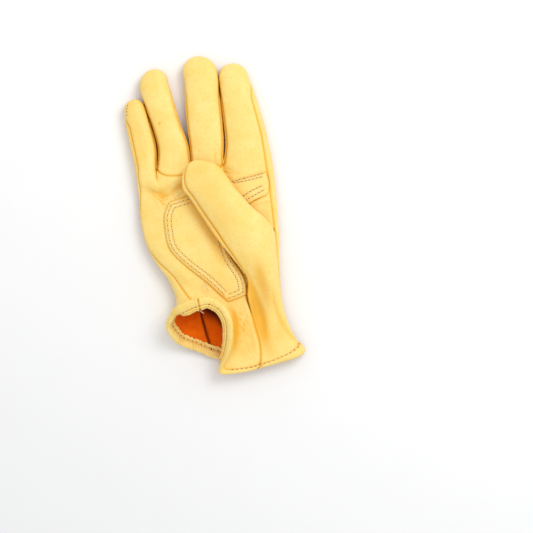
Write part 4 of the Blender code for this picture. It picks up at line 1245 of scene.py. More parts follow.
def build(sheet, wall, grain, suede):
    """Closes a dressed panel: grain outside, suede inside and on the cut edge."""
    outer = sheet.p + sheet.n * sheet.out[:, None]
    inner = sheet.p - sheet.n * (wall + sheet.inside)[:, None]
    count = len(outer)
    faces = list(sheet.faces)
    faces += [[i + count for i in reversed(face)] for face in sheet.faces]
    faces += [[b, a, a + count, b + count] for a, b in sheet.edge]
    slots = np.ones(len(faces), np.int32)
    slots[:len(sheet.faces)] = 0
    painted_shades = np.concatenate([sheet.depth, sheet.dark])
    wrinkled = np.concatenate([sheet.wrinkled, 0 * sheet.dark])
    points = np.concatenate([outer, inner])
    return make_piece(sheet.name + "_leather", points, faces, slots, (grain, suede), painted_shades, wrinkled)


def back_sheet():
    sheet = Sheet("back")
    for k in range(len(FINGERS)):
        sheet.add_surface(face_of(k, -1), crowded(-1, 1, FINGER_COLUMNS), all_stations(k), -1)
    last = len(FINGERS) - 1
    mouth, edge = crowded(0, 1, MOUTH_COLUMNS), crowded(0, 1, EDGE_COLUMNS)
    sheet.add_surface(lambda u, v: wrap_point(u, v, False), mouth, all_stations(0), -1)
    sheet.add_surface(lambda u, v: wrap_point(u, v, True), edge, all_stations(last), 1)
    return sheet


def face_of(k, up):
    """Finger k's front or back as a surface of across and station."""
    def surface(across, station):
        return face_point(k, across, station, up)
    return surface


def insert_edge(column):
    """The station of the seam below the ring and middle fingers: column runs from 1 to 3."""
    return 1 - INSERT_DIP * (1 - np.abs(column - 2) ** INSERT_SQUARENESS)


def palm_sheet():
    sheet = Sheet("palm")
    last = len(FINGERS) - 1
    for k in (0, last):
        sheet.add_surface(face_of(k, 1), crowded(-1, 1, FINGER_COLUMNS), all_stations(k), 1)
    for k in range(1, last):
        def under_insert(across, row, k=k):
            return face_point(k, across, row * insert_edge(k + (1 + across) / 2), 1)

        sheet.add_surface(under_insert, crowded(-1, 1, FINGER_COLUMNS), hand_rows(), 1)
    return sheet


def finger_insert_sheet():
    sheet = Sheet("finger_insert")
    columns = crowded(-1, 1, FINGER_COLUMNS)
    for k in range(1, len(FINGERS) - 1):
        def base(across, row, k=k):
            return face_point(k, across, mix(insert_edge(k + (1 + across) / 2), 1, row), 1)

        sheet.add_surface(base, columns, np.linspace(0, 1, INSERT_ROWS + 1), 1)
        sheet.add_surface(face_of(k, 1), columns, 1 + finger_shares(k), 1)
    return sheet


def fourchette_sheet(k):
    """The strip between fingers k and k + 1, down one wall, round the web and up the other."""
    sides = []
    across = np.linspace(-1, 1, FOURCHETTE_COLUMNS + 1)
    for number, way in ((k, 1), (k + 1, -1)):
        u, v = np.meshgrid(across, finger_shares(number, FOURCHETTE_STOP))

        def surface(a, s, number=number, way=way):
            return facing_wall(number, a, s, way)

        points, normals = surface(u, v), outward(surface, u, v, -way)
        sides.append((points[::-1], normals[::-1]) if way > 0 else (points, normals))
    outer = np.concatenate([sides[0][0], sides[1][0]])
    normals = np.concatenate([sides[0][1], sides[1][1]])
    foot = len(sides[0][0])
    web = np.array([0.0, 1.0, 0.0])
    for row in (foot - 1, foot):
        normals[row] = unit(unit(normals[row]) + web) * np.sqrt(2)
    sheet = Sheet(f"fourchette_{FINGERS[k].name}_{FINGERS[k + 1].name}")
    sheet.add_grid(outer, normals, 1)
    return sheet


def thumb_rows(start):
    rows = hand_rows()
    root = rows[(rows > start + 0.002) & (rows < THUMB_CROTCH - 0.004)]
    straight = np.linspace(THUMB_CROTCH, THUMB_CAP, THUMB_ROWS + 1)
    cap = THUMB_CAP + (1 - THUMB_CAP) * np.sin(np.linspace(0, np.pi / 2, CAP_ROWS + 8)[1:])
    return np.concatenate([[start], root, straight, cap])


def thumb_back_sheet():
    sheet = Sheet("thumb_back")
    sheet.add_surface(thumb_back_point, crowded(0, 1, THUMB_COLUMNS), thumb_rows(0.0), 1, THUMB_AXIS)
    return sheet


def thumb_front_sheet():
    sheet = Sheet("thumb_front")
    rows = thumb_rows(HOLE_START)
    sheet.add_surface(thumb_front_point, crowded(0, 1, THUMB_COLUMNS), rows, -1, THUMB_AXIS)
    return sheet


def palm_patch_sheet():
    sheet = Sheet("palm_patch")
    u, v = np.meshgrid(crowded(0, 1, PATCH_COLUMNS), crowded(0, 1, PATCH_ROWS))
    normals = outward(patch_point, u, v, 1)
    sheet.add_grid(patch_point(u, v) + (LAYER_GAP + PATCH_WALL) * normals, normals, 1)
    return sheet


def lying_section():
    """The hem's section where it lies flat: outside, over the fold, to its cut edge inside, and back.

    Each row is a distance into the cuff, a distance out from the leather's outside, and whether the
    point is on the hem's own outside. The way back runs close along the leather.
    """
    rows = []
    for share in np.linspace(1, 0, HEM_STEPS):
        rows.append((share * HEM_STITCH, HEM_TUCK + HEM_PUFF * math.sqrt(1 - share**3), True))
    size = WALL / 2 + HEM_TUCK + HEM_PUFF
    for turn in np.linspace(0, math.pi, HEM_STEPS)[1:-1]:
        rows.append((-size * math.sin(turn), size * math.cos(turn) - WALL / 2, True))
    for share in np.linspace(0, 1, 2 * HEM_STEPS):
        along = share * HEM_INSIDE
        pinch = math.exp(-(((along - HEM_STITCH) / HEM_PINCH_WIDTH) ** 2))
        puff = HEM_PUFF * (1 - 0.45 * pinch - 0.25 * share) + HEM_CUT_RISE * share**4
        rows.append((along, -WALL - HEM_TUCK - puff, True))
    near = HEM_TUCK / 2
    for share in np.linspace(1, 0, HEM_STEPS):
        rows.append((share * HEM_INSIDE, -WALL - near, False))
    size = WALL / 2 + near
    for turn in np.linspace(math.pi, 0, HEM_STEPS // 2)[1:-1]:
        rows.append((-size * math.sin(turn), size * math.cos(turn) - WALL / 2, False))
    for share in np.linspace(0, 1, HEM_STEPS // 2):
        rows.append((share * HEM_STITCH, near, False))
    return rows


def open_section(rim_here):
    """The hem's section where it stands open round the mouth, row for row with the lying one.

    The roll swells out over the leather and arches over the fold to the stitches in front of it, and
    the allowance falls from there to its cut edge.
    """
    columns = (through(OPEN_HEM, name, rim_here.angles)[:, None] for name in OpenHem._fields[1:])
    back, height, stitch, edge = columns
    base = rim_here.point(0, 0)
    up = np.array([0, 0, 1.0])
    front = unit(np.cross(rim_here.along_edge(0.0), up))
    front = front * np.sign((front * (MOUTH_MIDDLE - base)).sum(axis=1))[:, None]
    rings = []
    for share in np.linspace(1, 0, HEM_STEPS):
        swollen = rim_here.point(share * back, HEM_TUCK + height * (1 - share**2.4) ** 0.6)
        rings.append(swollen + up * (CREST_LIFT * (1 - share) ** 2))
    crest = rings[-1]
    groove = base + front * stitch
    for share in np.linspace(0, 1, HEM_STEPS)[1:-1]:
        rise = height * math.sin(math.pi * share) ** 0.8
        rings.append(mix(crest, groove, (1 - math.cos(math.pi * share)) / 2) + up * rise)
    for share in np.linspace(0, 1, 2 * HEM_STEPS):
        bulge = ALLOWANCE_BULGE * math.sin(math.pi * share**0.7) - ALLOWANCE_FALL * share**1.5
        rings.append(groove + front * (edge - stitch) * share + up * bulge)
    cut = rings[-1] - up * CUT_EDGE
    under = base + front * UNDER_FRONT - up * UNDER_FALL
    for share in np.linspace(0, 1, HEM_STEPS):
        rings.append(mix(cut, under, share))
    for share in np.linspace(0, 1, HEM_STEPS // 2)[1:-1]:
        arch = up * (UNDER_ARCH * math.sin(math.pi * share))
        rings.append(mix(under, rim_here.point(0, HEM_TUCK / 2), share) + arch)
    for share in np.linspace(0, 1, HEM_STEPS // 2):
        rings.append(rim_here.point(share * back, HEM_TUCK / 2))
    return rings


class RimLine:
    """The cuff's edge over some angles: its directions, and points at distances into the cuff.

    A distance is one number, or a column with one for each angle.
    """

    def __init__(self, angles):
        self.angles = angles
        self.into = (hand(angles, 0 * angles + HEM_STEP) - hand(angles, 0 * angles)) / HEM_STEP
        self.reach = np.linalg.norm(self.into, axis=-1, keepdims=True)

    def along_edge(self, station):
        return unit(hand(self.angles + EDGE_TURN, station) - hand(self.angles - EDGE_TURN, station))

    def point(self, along, out):
        """Points at a distance into the cuff, or below 0 before it, and out from the leather."""
        station = (np.maximum(along, 0) / self.reach)[:, 0]
        points = hand(self.angles, station)
        tangent = hand(self.angles, station + SMALL_STEP) - points
        normal = unit(np.cross(tangent, self.along_edge(station)))
        return points + unit(self.into) * np.minimum(along, 0) + normal * out


def rim_lengths(angles):
    """The length along the cuff's edge to each angle."""
    turns = np.floor(angles / 360)
    return np.interp(angles - 360 * turns, RIM_ANGLES, RIM_LENGTHS) + turns * RIM_STEPS.sum()


def gathering(angles):
    """How strongly the rim is gathered: most where the mouth's rim rolls over at the top left."""
    return 0.25 + 0.75 * window(np.mod(angles, 360), GATHER_START - 6, GATHER_END, 18)


def how_open(angles):
    """How far the rim stands open at each angle, from 0 to 1."""
    turned = np.mod(angles, 360)
    return (ease(turned, *OPEN_START) * (1 - ease(turned, *OPEN_END)))[:, None]


def hem_rings(rim_here, roughen=True):
    """The hem's rings along the rim, row by row, the painted shade at each point, and which rows are
    plain.
    """
    angles = rim_here.angles
    lengths = rim_lengths(angles)
    rough, small, ragged, crumple, patchy = (
        np.array([noise.noise(Vector((length / row.size, row.seed, 0.7))) for length in lengths])
        for row in HEM_NOISES
    )
    at_seam = np.exp(-(((np.mod(angles, 360) - PLEATS_AT) / PLEATS_SPREAD) ** 2))
    pleats = np.clip(0.7 + 1.4 * patchy + 0.6 * at_seam, 0.3, 1.4)
    wave = np.sin(2 * np.pi * lengths / HEM_GATHER_PITCH + 3.2 * rough) * pleats
    lying_rows, open_rings, opened = lying_section(), open_section(rim_here), how_open(angles)
    rings = []
    for (along, out, _), open_ring in zip(lying_rows, open_rings):
        rings.append(mix(rim_here.point(along, out), open_ring, opened))
    points = np.stack(rings)
    plain = np.array([row[2] for row in lying_rows])
    lengthwise = np.gradient(points, axis=1)
    crosswise = np.gradient(points, axis=0)
    normals = unit(np.cross(crosswise, lengthwise))
    middle = points[plain].mean(axis=0)
    facing = ((points - middle) * normals).sum(axis=2, keepdims=True)
    normals = normals * np.sign(facing[:1].mean())
    gathered = gathering(angles)
    painted_shades = []
    for number, (along, out, outside) in enumerate(lying_rows):
        inner = out < -WALL
        share = max(along / HEM_INSIDE, 0) if inner else 0
        pinch_shade = math.exp(-(((along - HEM_STITCH) / PINCH_SHADE_WIDTH) ** 2)) if outside else 0
        if roughen and outside:
            fade = 1.0 if inner or along < 0 else math.sqrt(max(1 - (along / HEM_STITCH) ** 2, 0))
            swell = gathered * (GATHER_WAVE * wave + GATHER_ROUGH * rough + GATHER_SMALL * small)
            swell = swell + (GATHER_CRUMPLE * crumple * share if inner else 0)
            points[number] += normals[number] * (swell * fade)[:, None]
            if inner:
                points[number] += unit(rim_here.into) * (RAGGED_EDGE * ragged * share**2)[:, None]
        # Painted shade along the pinched stitch line and in the valleys of the gathers
        valley = np.clip(-wave - 0.3, 0, 1) * gathered * (0.5 if outside else 0)
        painted_shades.append(np.clip(0.7 * pinch_shade + valley, 0, 1))
    return points, np.stack(painted_shades), plain


def make_hem(name, low, high, grain, suede):
    """The folded hem between two angles of the cuff's edge."""
    start, end = rim_lengths(np.array([low, high], float))
    count = max(int(abs(end - start) / HEM_SPACING), 12)
    angles = np.linspace(low, high, count)
    points, painted_shades, plain = hem_rings(RimLine(angles))
    lengths = rim_lengths(angles)
    from_end = np.minimum(lengths - lengths.min(), lengths.max() - lengths)
    centre = points.mean(axis=0)
    swell = JOIN_SWELL * np.exp(-(((from_end - JOIN_SWELL_AT) / JOIN_SWELL_WIDTH) ** 2))
    nick = JOIN_NICK * np.exp(-((from_end / JOIN_NICK_WIDTH) ** 2))
    points = centre + (points - centre) * (1 + swell - nick)[:, None]
    # Painted shade in the nick where the lengths meet
    painted_shades = np.maximum(painted_shades, 0.9 * np.exp(-((from_end / JOIN_SHADE_WIDTH) ** 2)))
    rows = len(points)
    number = np.arange(rows * count).reshape(rows, count)
    faces, slots = [], []
    for i in range(rows):
        after = (i + 1) % rows
        for j in range(count - 1):
            faces.append([number[i, j], number[i, j + 1], number[after, j + 1], number[after, j]])
            slots.append(0 if plain[i] and plain[after] else 1)
    faces.append(number[:, 0].tolist())
    faces.append(number[::-1, -1].tolist())
    slots += [1, 1]
    points, painted_shades = points.reshape(-1, 3), painted_shades.ravel()
    return make_piece(name + "_leather", points, faces, slots, (grain, suede), painted_shades)


def make_piece(name, points, faces, slots, materials, painted_shades, wrinkled=None):
    """A mesh object with smooth faces, its materials, and the painted shade at each point as its crease
    attribute.
    """
    mesh = bpy.data.meshes.new(name)
    mesh.from_pydata(points.tolist(), [], [[int(i) for i in face] for face in faces])
    for material in materials:
        mesh.materials.append(material)
    mesh.polygons.foreach_set("material_index", np.array(slots, np.int32))
    crease = mesh.attributes.new("crease", "FLOAT", "POINT")
    crease.data.foreach_set("value", np.asarray(painted_shades, np.float32))
    wrinkles = mesh.attributes.new("wrinkles", "FLOAT", "POINT")
    if wrinkled is not None:
        wrinkles.data.foreach_set("value", np.asarray(wrinkled, np.float32))
    mesh.update()
    mesh.shade_smooth()
    mesh.set_sharp_from_angle(angle=SHARP_ANGLE)
    thing = bpy.data.objects.new(name, mesh)
    bpy.context.scene.collection.objects.link(thing)
    return thing


def ring_of(path, normals, radii, sides):
    """Rings of points round a path, one for each of its points."""
    tangents = unit(np.gradient(path, axis=0))
    across = unit(np.cross(tangents, normals))
    up = np.cross(across, tangents)
    turns = np.linspace(0, 2 * np.pi, sides, endpoint=False)
    offsets = np.cos(turns)[:, None] * across[:, None] + np.sin(turns)[:, None] * up[:, None]
    return path[:, None] + offsets * np.asarray(radii)[:, None, None]


def along_path(path, steps, at):
    """Points of a path at some distances along it."""
    return np.stack([np.interp(at, steps, path[:, c]) for c in range(3)], axis=1)


class Threads:
    """Threads and the needle holes at their ends, dark lenses of painted shade, joined into one mesh."""

    def __init__(self):
        self.points, self.faces, self.slots, self.count = [], [], [], 0

    def add(self, points, faces, slot):
        self.points.append(points)
        self.faces += [[i + self.count for i in face] for face in faces]
        self.slots += [slot] * len(faces)
        self.count += len(points)

    def tube(self, path, normals, radii):
        """A closed tube round a path, in the first material."""
        sides, count = THREAD_SIDES, len(path)
        rings = ring_of(path, normals, radii, sides)
        faces = []
        for i in range(count - 1):
            for j in range(sides):
                k = (j + 1) % sides
                faces.append([i * sides + j, i * sides + k, (i + 1) * sides + k, (i + 1) * sides + j])
        faces.append(list(range(sides))[::-1])
        faces.append(list(range((count - 1) * sides, count * sides)))
        self.add(rings.reshape(-1, 3), faces, 0)

    def hole(self, point, normal, size):
        """A needle hole: a small dark lens of painted shade, mostly sunk in the leather, in the second
        material.
        """
        side = unit(np.cross(normal, np.array(HOLE_TURN)))
        other = np.cross(normal, side)
        turns = np.linspace(0, 2 * np.pi, HOLE_SIDES, endpoint=False)
        ring = point + size * (np.cos(turns)[:, None] * side + np.sin(turns)[:, None] * other)
        ends = np.array([point + normal * size * HOLE_RISE, point - normal * size])
        pairs = [(i, (i + 1) % HOLE_SIDES) for i in range(HOLE_SIDES)]
        faces = [[i, k, HOLE_SIDES] for i, k in pairs] + [[k, i, HOLE_SIDES + 1] for i, k in pairs]
        self.add(np.concatenate([ring, ends]), faces, 1)

    def row(self, path, skin, pitch, length=STITCH_SHARE):
        """A row of stitches along a path, seated on a skin."""
        steps = np.concatenate([[0], np.cumsum(np.linalg.norm(np.diff(path, axis=0), axis=1))])
        share = np.linspace(0, 1, STITCH_POINTS)
        rise = THREAD_SIZE * (STITCH_ARCH * np.sin(np.pi * share) ** 0.6 - STITCH_SUNK)
        radii = THREAD_SIZE / 2 * (STITCH_END + (1 - STITCH_END) * np.sin(np.pi * share) ** 0.5)
        for i in range(int(steps[-1] / pitch)):
            ends = pitch * (i + 0.5 + length * np.array([-0.5, 0.5]))
            seats, normals = skin.seat(along_path(path, steps, np.linspace(*ends, STITCH_POINTS)))
            self.tube(seats + normals * rise[:, None], normals, radii)
            hole, normal = skin.seat(along_path(path, steps, [i * pitch]))
            self.hole(hole[0], normal[0], HOLE_SIZE)

    def make(self, name, materials):
        points = np.concatenate(self.points)
        return make_piece(name, points, self.faces, self.slots, materials, np.zeros(len(points)))


class Skin:
    """Finds the nearest point of one or more pieces, and the normal there."""

    def __init__(self, *pieces):
        points, faces = [], []
        for piece in pieces:
            start = len(points)
            points += [v.co.copy() for v in piece.data.vertices]
            faces += [[i + start for i in face.vertices] for face in piece.data.polygons]
        self.tree = BVHTree.FromPolygons(points, faces)

    def seat(self, points):
        found = [self.tree.find_nearest(Vector(point)) for point in points]
        return np.array([f[0][:] for f in found]), unit(np.array([f[1][:] for f in found]))


def inset(outline, distance):
    """Stretches of a closed outline in the XY plane, moved in by a distance."""
    run = np.roll(outline, -1, axis=0) - np.roll(outline, 1, axis=0)
    inward = unit(joined(-run[:, 1], run[:, 0], 0 * run[:, 0]))
    moved = outline + inward * distance
    gaps = np.linalg.norm(moved[:, None, :2] - outline[None, :, :2], axis=2).min(axis=1)
    kept = moved[gaps > INSET_KEPT * distance]
    steps = np.linalg.norm(np.diff(kept, axis=0), axis=1)
    return np.split(kept, np.flatnonzero(steps > INSET_BREAK) + 1)


def patch_outline():
    """The patch's edge, counter-clockwise seen from above, run on past the index finger's seam."""
    fine = np.linspace(0, 1, OUTLINE_STEPS)
    bottom, right = patch_point(fine, 0 * fine), patch_point(0 * fine + 1, fine)
    top, left = patch_point(fine[::-1], 0 * fine + 1), patch_point(0 * fine, fine[::-1])
    return np.concatenate([bottom[:-1], right[:-1], top[:-1], left[:-1]])


def bare_of_thumb(points):
    """Which points of the palm don't lie under the thumb."""
    return (points[..., 0] < BARE_OF_THUMB[0]) | (points[..., 1] < BARE_OF_THUMB[1])


def patch_stitches(skin, materials):
    """The patch's two rows where the thumb doesn't cover them, and the rows below the index finger."""
    threads = Threads()
    for distance in PATCH_ROWS_IN:
        for stretch in inset(patch_outline(), distance):
            bare = bare_of_thumb(stretch).astype(int)
            for run in np.split(stretch, np.flatnonzero(np.diff(bare)) + 1):
                if len(run) > SHORTEST_RUN and bare_of_thumb(run[len(run) // 2]):
                    threads.row(run + np.array([0, 0, PATCH_ROWS_UP]), skin, PATCH_PITCH)
    for name in "abcd":
        ends = np.array([[point.x, point.y] for point in INDEX_STITCHES if point.row == name])
        xs = np.linspace(ends[0, 0], ends[-1, 0], ROW_POINTS)
        row = joined(xs, np.interp(xs, ends[:, 0], ends[:, 1]), 0 * xs + PALM_HEIGHT)
        threads.row(row, skin, INDEX_PITCH, INDEX_SHARE)
    return threads.make("patch_stitches", materials)


def hem_stitches(skin, materials):
    """The rows along the hem, on the outside and again inside the cuff."""
    threads = Threads()
    angles = np.linspace(*HEM_ROW_ANGLES)
    rim_here = RimLine(angles)
    lying = (angles < OPEN_START[0]) | (angles > OPEN_END[1])
    outside = rim_here.point(HEM_STITCH - HEM_ROW_BACK, HEM_ROW_OUT)
    for stretch in np.split(outside, np.flatnonzero(np.diff(lying.astype(int))) + 1)[::2]:
        threads.row(stretch, skin, HEM_PITCH)
    open_row = 2 * HEM_STEPS - 2
    lying_row = open_row + round(2 * HEM_STEPS * HEM_STITCH / HEM_INSIDE)
    points = hem_rings(rim_here, False)[0]
    threads.row(mix(points[lying_row], points[open_row], how_open(angles)), skin, HEM_PITCH)
    return threads.make("hem_stitches", materials)


def little_tip_stitches(skin, materials):
    """The closing stitches that show round the little finger's tip."""
    threads = Threads()
    share = np.linspace(*TIP_REACH, ROW_POINTS)
    across = np.linspace(*TIP_TURN, ROW_POINTS)
    threads.row(finger_point(0, across, 0 * share + TIP_ROUND, share), skin, TIP_PITCH, TIP_SHARE)
    return threads.make("little_finger_stitches", materials)


def thread_ends(materials):
    """Two loose ends of thread: below the patch and at the join of the mouth's rim."""
    threads = Threads()
    up = unit(np.tile(THREAD_END_UP, (THREAD_END_STEPS, 1)))
    for points in THREAD_ENDS:
        share = np.linspace(0, 1, len(points))
        smooth = along_path(np.array(points), share, np.linspace(0, 1, THREAD_END_STEPS))
        for _ in range(THREAD_END_ROUNDS):
            smooth[1:-1] = (smooth[:-2] + 2 * smooth[1:-1] + smooth[2:]) / 4
        threads.tube(smooth, up, np.full(THREAD_END_STEPS, THREAD_SIZE * THREAD_END_SIZE))
    return threads.make("thread_ends", materials)


def thread_material():
    """Cream twisted thread."""
    material, nodes, links, shader = node_material("thread", CREAM_THREAD, 0.75)
    place = place_node(nodes)
    tone = spread_node(nodes, links, noise_node(nodes, links, place, *THREAD_TONE), *EVEN_SPREAD)
    colour = mix_colours(nodes, links, tone, LIGHT_THREAD, DARK_THREAD)
    links.new(colour, shader.inputs["Base Color"])
    twist = noise_node(nodes, links, place, *THREAD_TWIST)
    links.new(bump_node(nodes, links, twist, *TWIST_BUMP), shader.inputs["Normal"])
    return material


def hole_shade_material():
    """Painted shade standing for the dark inside a needle hole."""
    material, nodes, links, shader = node_material("needle hole", HOLE_SHADE, 0.9)
    tone = noise_node(nodes, links, place_node(nodes), *HOLE_TONE)
    links.new(mix_colours(nodes, links, tone, HOLE_RIM_SHADE, HOLE_DEEP_SHADE), shader.inputs["Base Color"])
    return material


def node_material(name, colour, roughness):
    """A material with a Principled shader: returns it with its nodes, links and shader."""
    material = bpy.data.materials.new(name)
    material.use_nodes = True
    nodes, links = material.node_tree.nodes, material.node_tree.links
    shader = nodes["Principled BSDF"]
    shader.inputs["Base Color"].default_value = (*colour, 1)
    shader.inputs["Roughness"].default_value = roughness
    return material, nodes, links, shader


def noise_node(nodes, links, place, scale, detail=3.0, roughness=0.55):
    node = nodes.new("ShaderNodeTexNoise")
    node.inputs["Scale"].default_value = scale
    node.inputs["Detail"].default_value = detail
    node.inputs["Roughness"].default_value = roughness
    links.new(place, node.inputs["Vector"])
    return node.outputs["Fac"]


def spread_node(nodes, links, value, low, high, to_low, to_high):
    node = nodes.new("ShaderNodeMapRange")
    node.inputs["From Min"].default_value = low
    node.inputs["From Max"].default_value = high
    node.inputs["To Min"].default_value = to_low
    node.inputs["To Max"].default_value = to_high
    links.new(value, node.inputs["Value"])
    return node.outputs["Result"]


def mix_colours(nodes, links, share, a, b):
    """A mix of two colours, each a value or another node's output."""
    node = nodes.new("ShaderNodeMix")
    node.data_type = "RGBA"
    links.new(share, node.inputs["Factor"])
    for socket, colour in ((node.inputs["A"], a), (node.inputs["B"], b)):
        if isinstance(colour, tuple):
            socket.default_value = (*colour, 1)
        else:
            links.new(colour, socket)
    return node.outputs["Result"]


def bump_node(nodes, links, height, strength, distance, under=None):
    node = nodes.new("ShaderNodeBump")
    node.inputs["Strength"].default_value = strength
    node.inputs["Distance"].default_value = distance
    links.new(height, node.inputs["Height"])
    if under is not None:
        links.new(under, node.inputs["Normal"])
    return node.outputs["Normal"]


def place_node(nodes):
    return nodes.new("ShaderNodeTexCoord").outputs["Object"]


def grain_leather(name, light, dark, deep):
    """Smooth-tanned grain leather: pebbled, a little uneven in tone, with painted shade in creases and
    hollows.
    """
    material, nodes, links, shader = node_material(name, light, 0.5)
    place = place_node(nodes)
    tone = spread_node(nodes, links, noise_node(nodes, links, place, *GRAIN_TONE), *EVEN_SPREAD)
    fine = spread_node(nodes, links, noise_node(nodes, links, place, *GRAIN_FINE), *FINE_SPREAD)
    colour = mix_colours(nodes, links, tone, light, dark)
    colour = mix_colours(nodes, links, fine, colour, dark)
    crease = nodes.new("ShaderNodeAttribute")
    crease.attribute_name = "crease"
    pebbles = nodes.new("ShaderNodeTexVoronoi")
    pebbles.inputs["Scale"].default_value = PEBBLE_SCALE
    links.new(place, pebbles.inputs["Vector"])
    between = spread_node(nodes, links, pebbles.outputs["Distance"], *PEBBLE_SPREAD)
    colour = mix_colours(nodes, links, between, colour, deep)
    # Painted shade: the grain turns orange, and dark brown in the deepest gaps, where its surroundings
    # close in
    sky = open_sky(nodes, SHADE_REACH)
    shade = spread_node(nodes, links, sky, *SHADE_SPREAD)
    colour = mix_colours(nodes, links, shade, colour, SHADED_GRAIN)
    # Painted shade from the crease attribute: seams, creases, valleys, hem gathers and shaded patches
    colour = mix_colours(nodes, links, crease.outputs["Fac"], colour, deep)
    deepest_shade = spread_node(nodes, links, sky, *DEEPEST_SHADE_SPREAD)
    colour = mix_colours(nodes, links, deepest_shade, colour, DEEPEST_SHADE_GRAIN)
    links.new(spread_node(nodes, links, fine, *GLOSS_SPREAD), shader.inputs["Roughness"])
    shader.inputs["Specular IOR Level"].default_value = 0.35
    folds = wrinkle_node(nodes, links, place)
    # Painted shade in the wrinkles, which also bump the surface
    colour = mix_colours(nodes, links, folds, colour, deep)
    links.new(colour, shader.inputs["Base Color"])
    rough = noise_node(nodes, links, place, *GRAIN_ROUGH)
    normal = bump_node(nodes, links, folds, *WRINKLE_BUMP)
    normal = bump_node(nodes, links, pebbles.outputs["Distance"], *PEBBLE_BUMP, normal)
    normal = bump_node(nodes, links, rough, *GRAIN_BUMP, normal)
    links.new(normal, shader.inputs["Normal"])
    return material


def wrinkle_node(nodes, links, place):
    """Short slanting wrinkles where the leather is wrinkled, from 0 to 1."""
    turned = nodes.new("ShaderNodeMapping")
    turned.vector_type = "TEXTURE"
    turned.inputs["Rotation"].default_value = (0, 0, math.radians(WRINKLE_TURN))
    turned.inputs["Scale"].default_value = WRINKLE_SIZE
    links.new(place, turned.inputs["Vector"])
    lines = noise_node(nodes, links, turned.outputs["Vector"], *WRINKLE_TONE)
    lines = spread_node(nodes, links, lines, *WRINKLE_SPREAD)
    where = nodes.new("ShaderNodeAttribute")
    where.attribute_name = "wrinkles"
    both = nodes.new("ShaderNodeMath")
    both.operation = "MULTIPLY"
    links.new(lines, both.inputs[0])
    links.new(where.outputs["Fac"], both.inputs[1])
    return both.outputs["Value"]


def open_sky(nodes, distance):
    """How open a surface is to its surroundings within a distance, from 0 to 1."""
    node = nodes.new("ShaderNodeAmbientOcclusion")
    node.samples = SHADE_SAMPLES
    node.inputs["Distance"].default_value = distance
    return node.outputs["AO"]


def suede_leather(name, light, dark):
    """The flesh side: a napped orange suede, darker with painted shade where the crease attribute says.
    """
    material, nodes, links, shader = node_material(name, light, 0.95)
    place = place_node(nodes)
    tone = spread_node(nodes, links, noise_node(nodes, links, place, *SUEDE_TONE), *EVEN_SPREAD)
    colour = mix_colours(nodes, links, tone, light, dark)
    crease = nodes.new("ShaderNodeAttribute")
    crease.attribute_name = "crease"
    # Painted shade on the flesh side
    colour = mix_colours(nodes, links, crease.outputs["Fac"], colour, SHADED_SUEDE)
    links.new(colour, shader.inputs["Base Color"])
    shader.inputs["Sheen Weight"].default_value = 0.04
    shader.inputs["Sheen Roughness"].default_value = 0.6
    shader.inputs["Specular IOR Level"].default_value = 0.08
    nap = noise_node(nodes, links, place, *SUEDE_NAP)
    links.new(bump_node(nodes, links, nap, *NAP_BUMP), shader.inputs["Normal"])
    return material


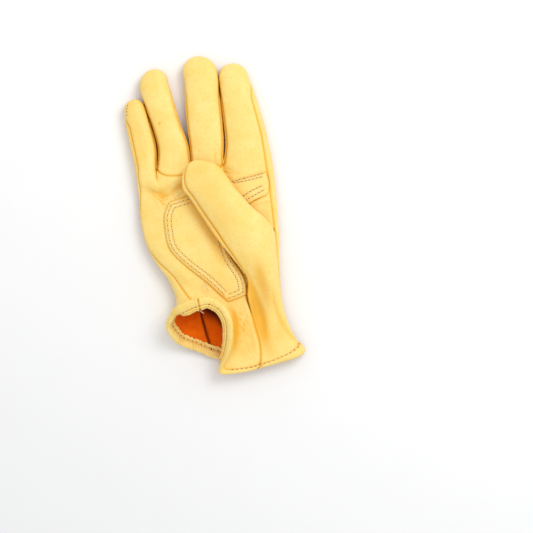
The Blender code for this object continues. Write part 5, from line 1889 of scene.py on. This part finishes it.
def floor_and_light():
    """A white floor darkened towards one side by painted shade, soft light from above and a little from
    the right, and the camera.
    """
    bpy.ops.mesh.primitive_plane_add(size=FLOOR_SIZE, location=(0, 0, -FLOOR_DROP))
    floor = bpy.context.object
    floor.name = "floor"
    material, nodes, links, shader = node_material("white floor", WHITE_FLOOR, 0.9)
    place = place_node(nodes)
    far = nodes.new("ShaderNodeVectorMath")
    far.operation = "DOT_PRODUCT"
    far.inputs[1].default_value = FLOOR_SHADE_WAY
    links.new(place, far.inputs[0])
    # Painted shade: the floor's white falls off towards one side
    floor_shade = spread_node(nodes, links, far.outputs["Value"], *FLOOR_SHADE_FALL)
    colour = mix_colours(nodes, links, floor_shade, NEAR_FLOOR, SHADED_FAR_FLOOR)
    faint = spread_node(nodes, links, noise_node(nodes, links, place, *FLOOR_TONE), *FLOOR_FAINT)
    colour = mix_colours(nodes, links, faint, colour, GREY_FLOOR)
    links.new(colour, shader.inputs["Base Color"])
    floor.data.materials.append(material)
    world = bpy.data.worlds.new("studio")
    world.use_nodes = True
    world.node_tree.nodes["Background"].inputs["Color"].default_value = (1, 1, 1, 1)
    world.node_tree.nodes["Background"].inputs["Strength"].default_value = WORLD_LIGHT
    bpy.context.scene.world = world
    for lamp in LAMPS:
        light = bpy.data.lights.new("soft box", "AREA")
        light.energy = lamp.energy
        light.size = lamp.size
        box = bpy.data.objects.new("soft box", light)
        box.location = lamp.place
        way = Vector(LIT_PLACE) - Vector(lamp.place)
        box.rotation_euler = way.to_track_quat("-Z", "Y").to_euler()
        bpy.context.scene.collection.objects.link(box)
    bpy.context.scene.view_settings.view_transform = "Standard"
    camera = bpy.data.cameras.new("camera")
    camera.sensor_width = CAMERA_SENSOR
    camera.lens = camera.sensor_width * CAMERA_HEIGHT / VIEW_WIDTH
    holder = bpy.data.objects.new("camera", camera)
    holder.location = (*CAMERA_PLACE, CAMERA_HEIGHT + VIEW_LEVEL)
    holder.rotation_euler = (0, 0, math.radians(-PHOTO_TURN))
    bpy.context.scene.collection.objects.link(holder)
    bpy.context.scene.camera = holder


def main():
    floor_and_light()
    grain = grain_leather("grain leather", LIGHT_GRAIN, DARK_GRAIN, DEEP_GRAIN)
    suede = suede_leather("suede", LIGHT_SUEDE, DARK_SUEDE)
    sheets = [back_sheet(), palm_sheet(), finger_insert_sheet(), thumb_back_sheet(), thumb_front_sheet()]
    sheets += [fourchette_sheet(k) for k in range(len(FINGERS) - 1)]
    for sheet in sheets:
        sheet.weld()
    shared_normals(sheets)
    patch = palm_patch_sheet()
    patch.weld()
    things = {}
    for sheet in sheets + [patch]:
        dress(sheet)
        thing = build(sheet, WALL, grain, suede)
        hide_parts(sheet.name)
        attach(thing, "root")
        things[sheet.name] = thing
    ulnar, thumb_side, radial = (seam[0].angle for seam in (ULNAR_SEAM, THUMB_SIDE_SEAM, RADIAL_SEAM))
    hems = []
    for name, low, high in (
        ("hem_palm", ulnar, thumb_side),
        ("hem_thumb_side", thumb_side, radial),
        ("hem_back", 360 + radial, ulnar),
    ):
        hems.append(make_hem(name, low, high, grain, suede))
        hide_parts(name)
    materials = (thread_material(), hole_shade_material())
    threads = [
        patch_stitches(Skin(things["palm_patch"]), materials),
        hem_stitches(Skin(*hems), materials),
        little_tip_stitches(Skin(things["palm"]), materials),
        thread_ends(materials),
    ]
    for thing in hems + threads:
        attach(thing, "root")


main()
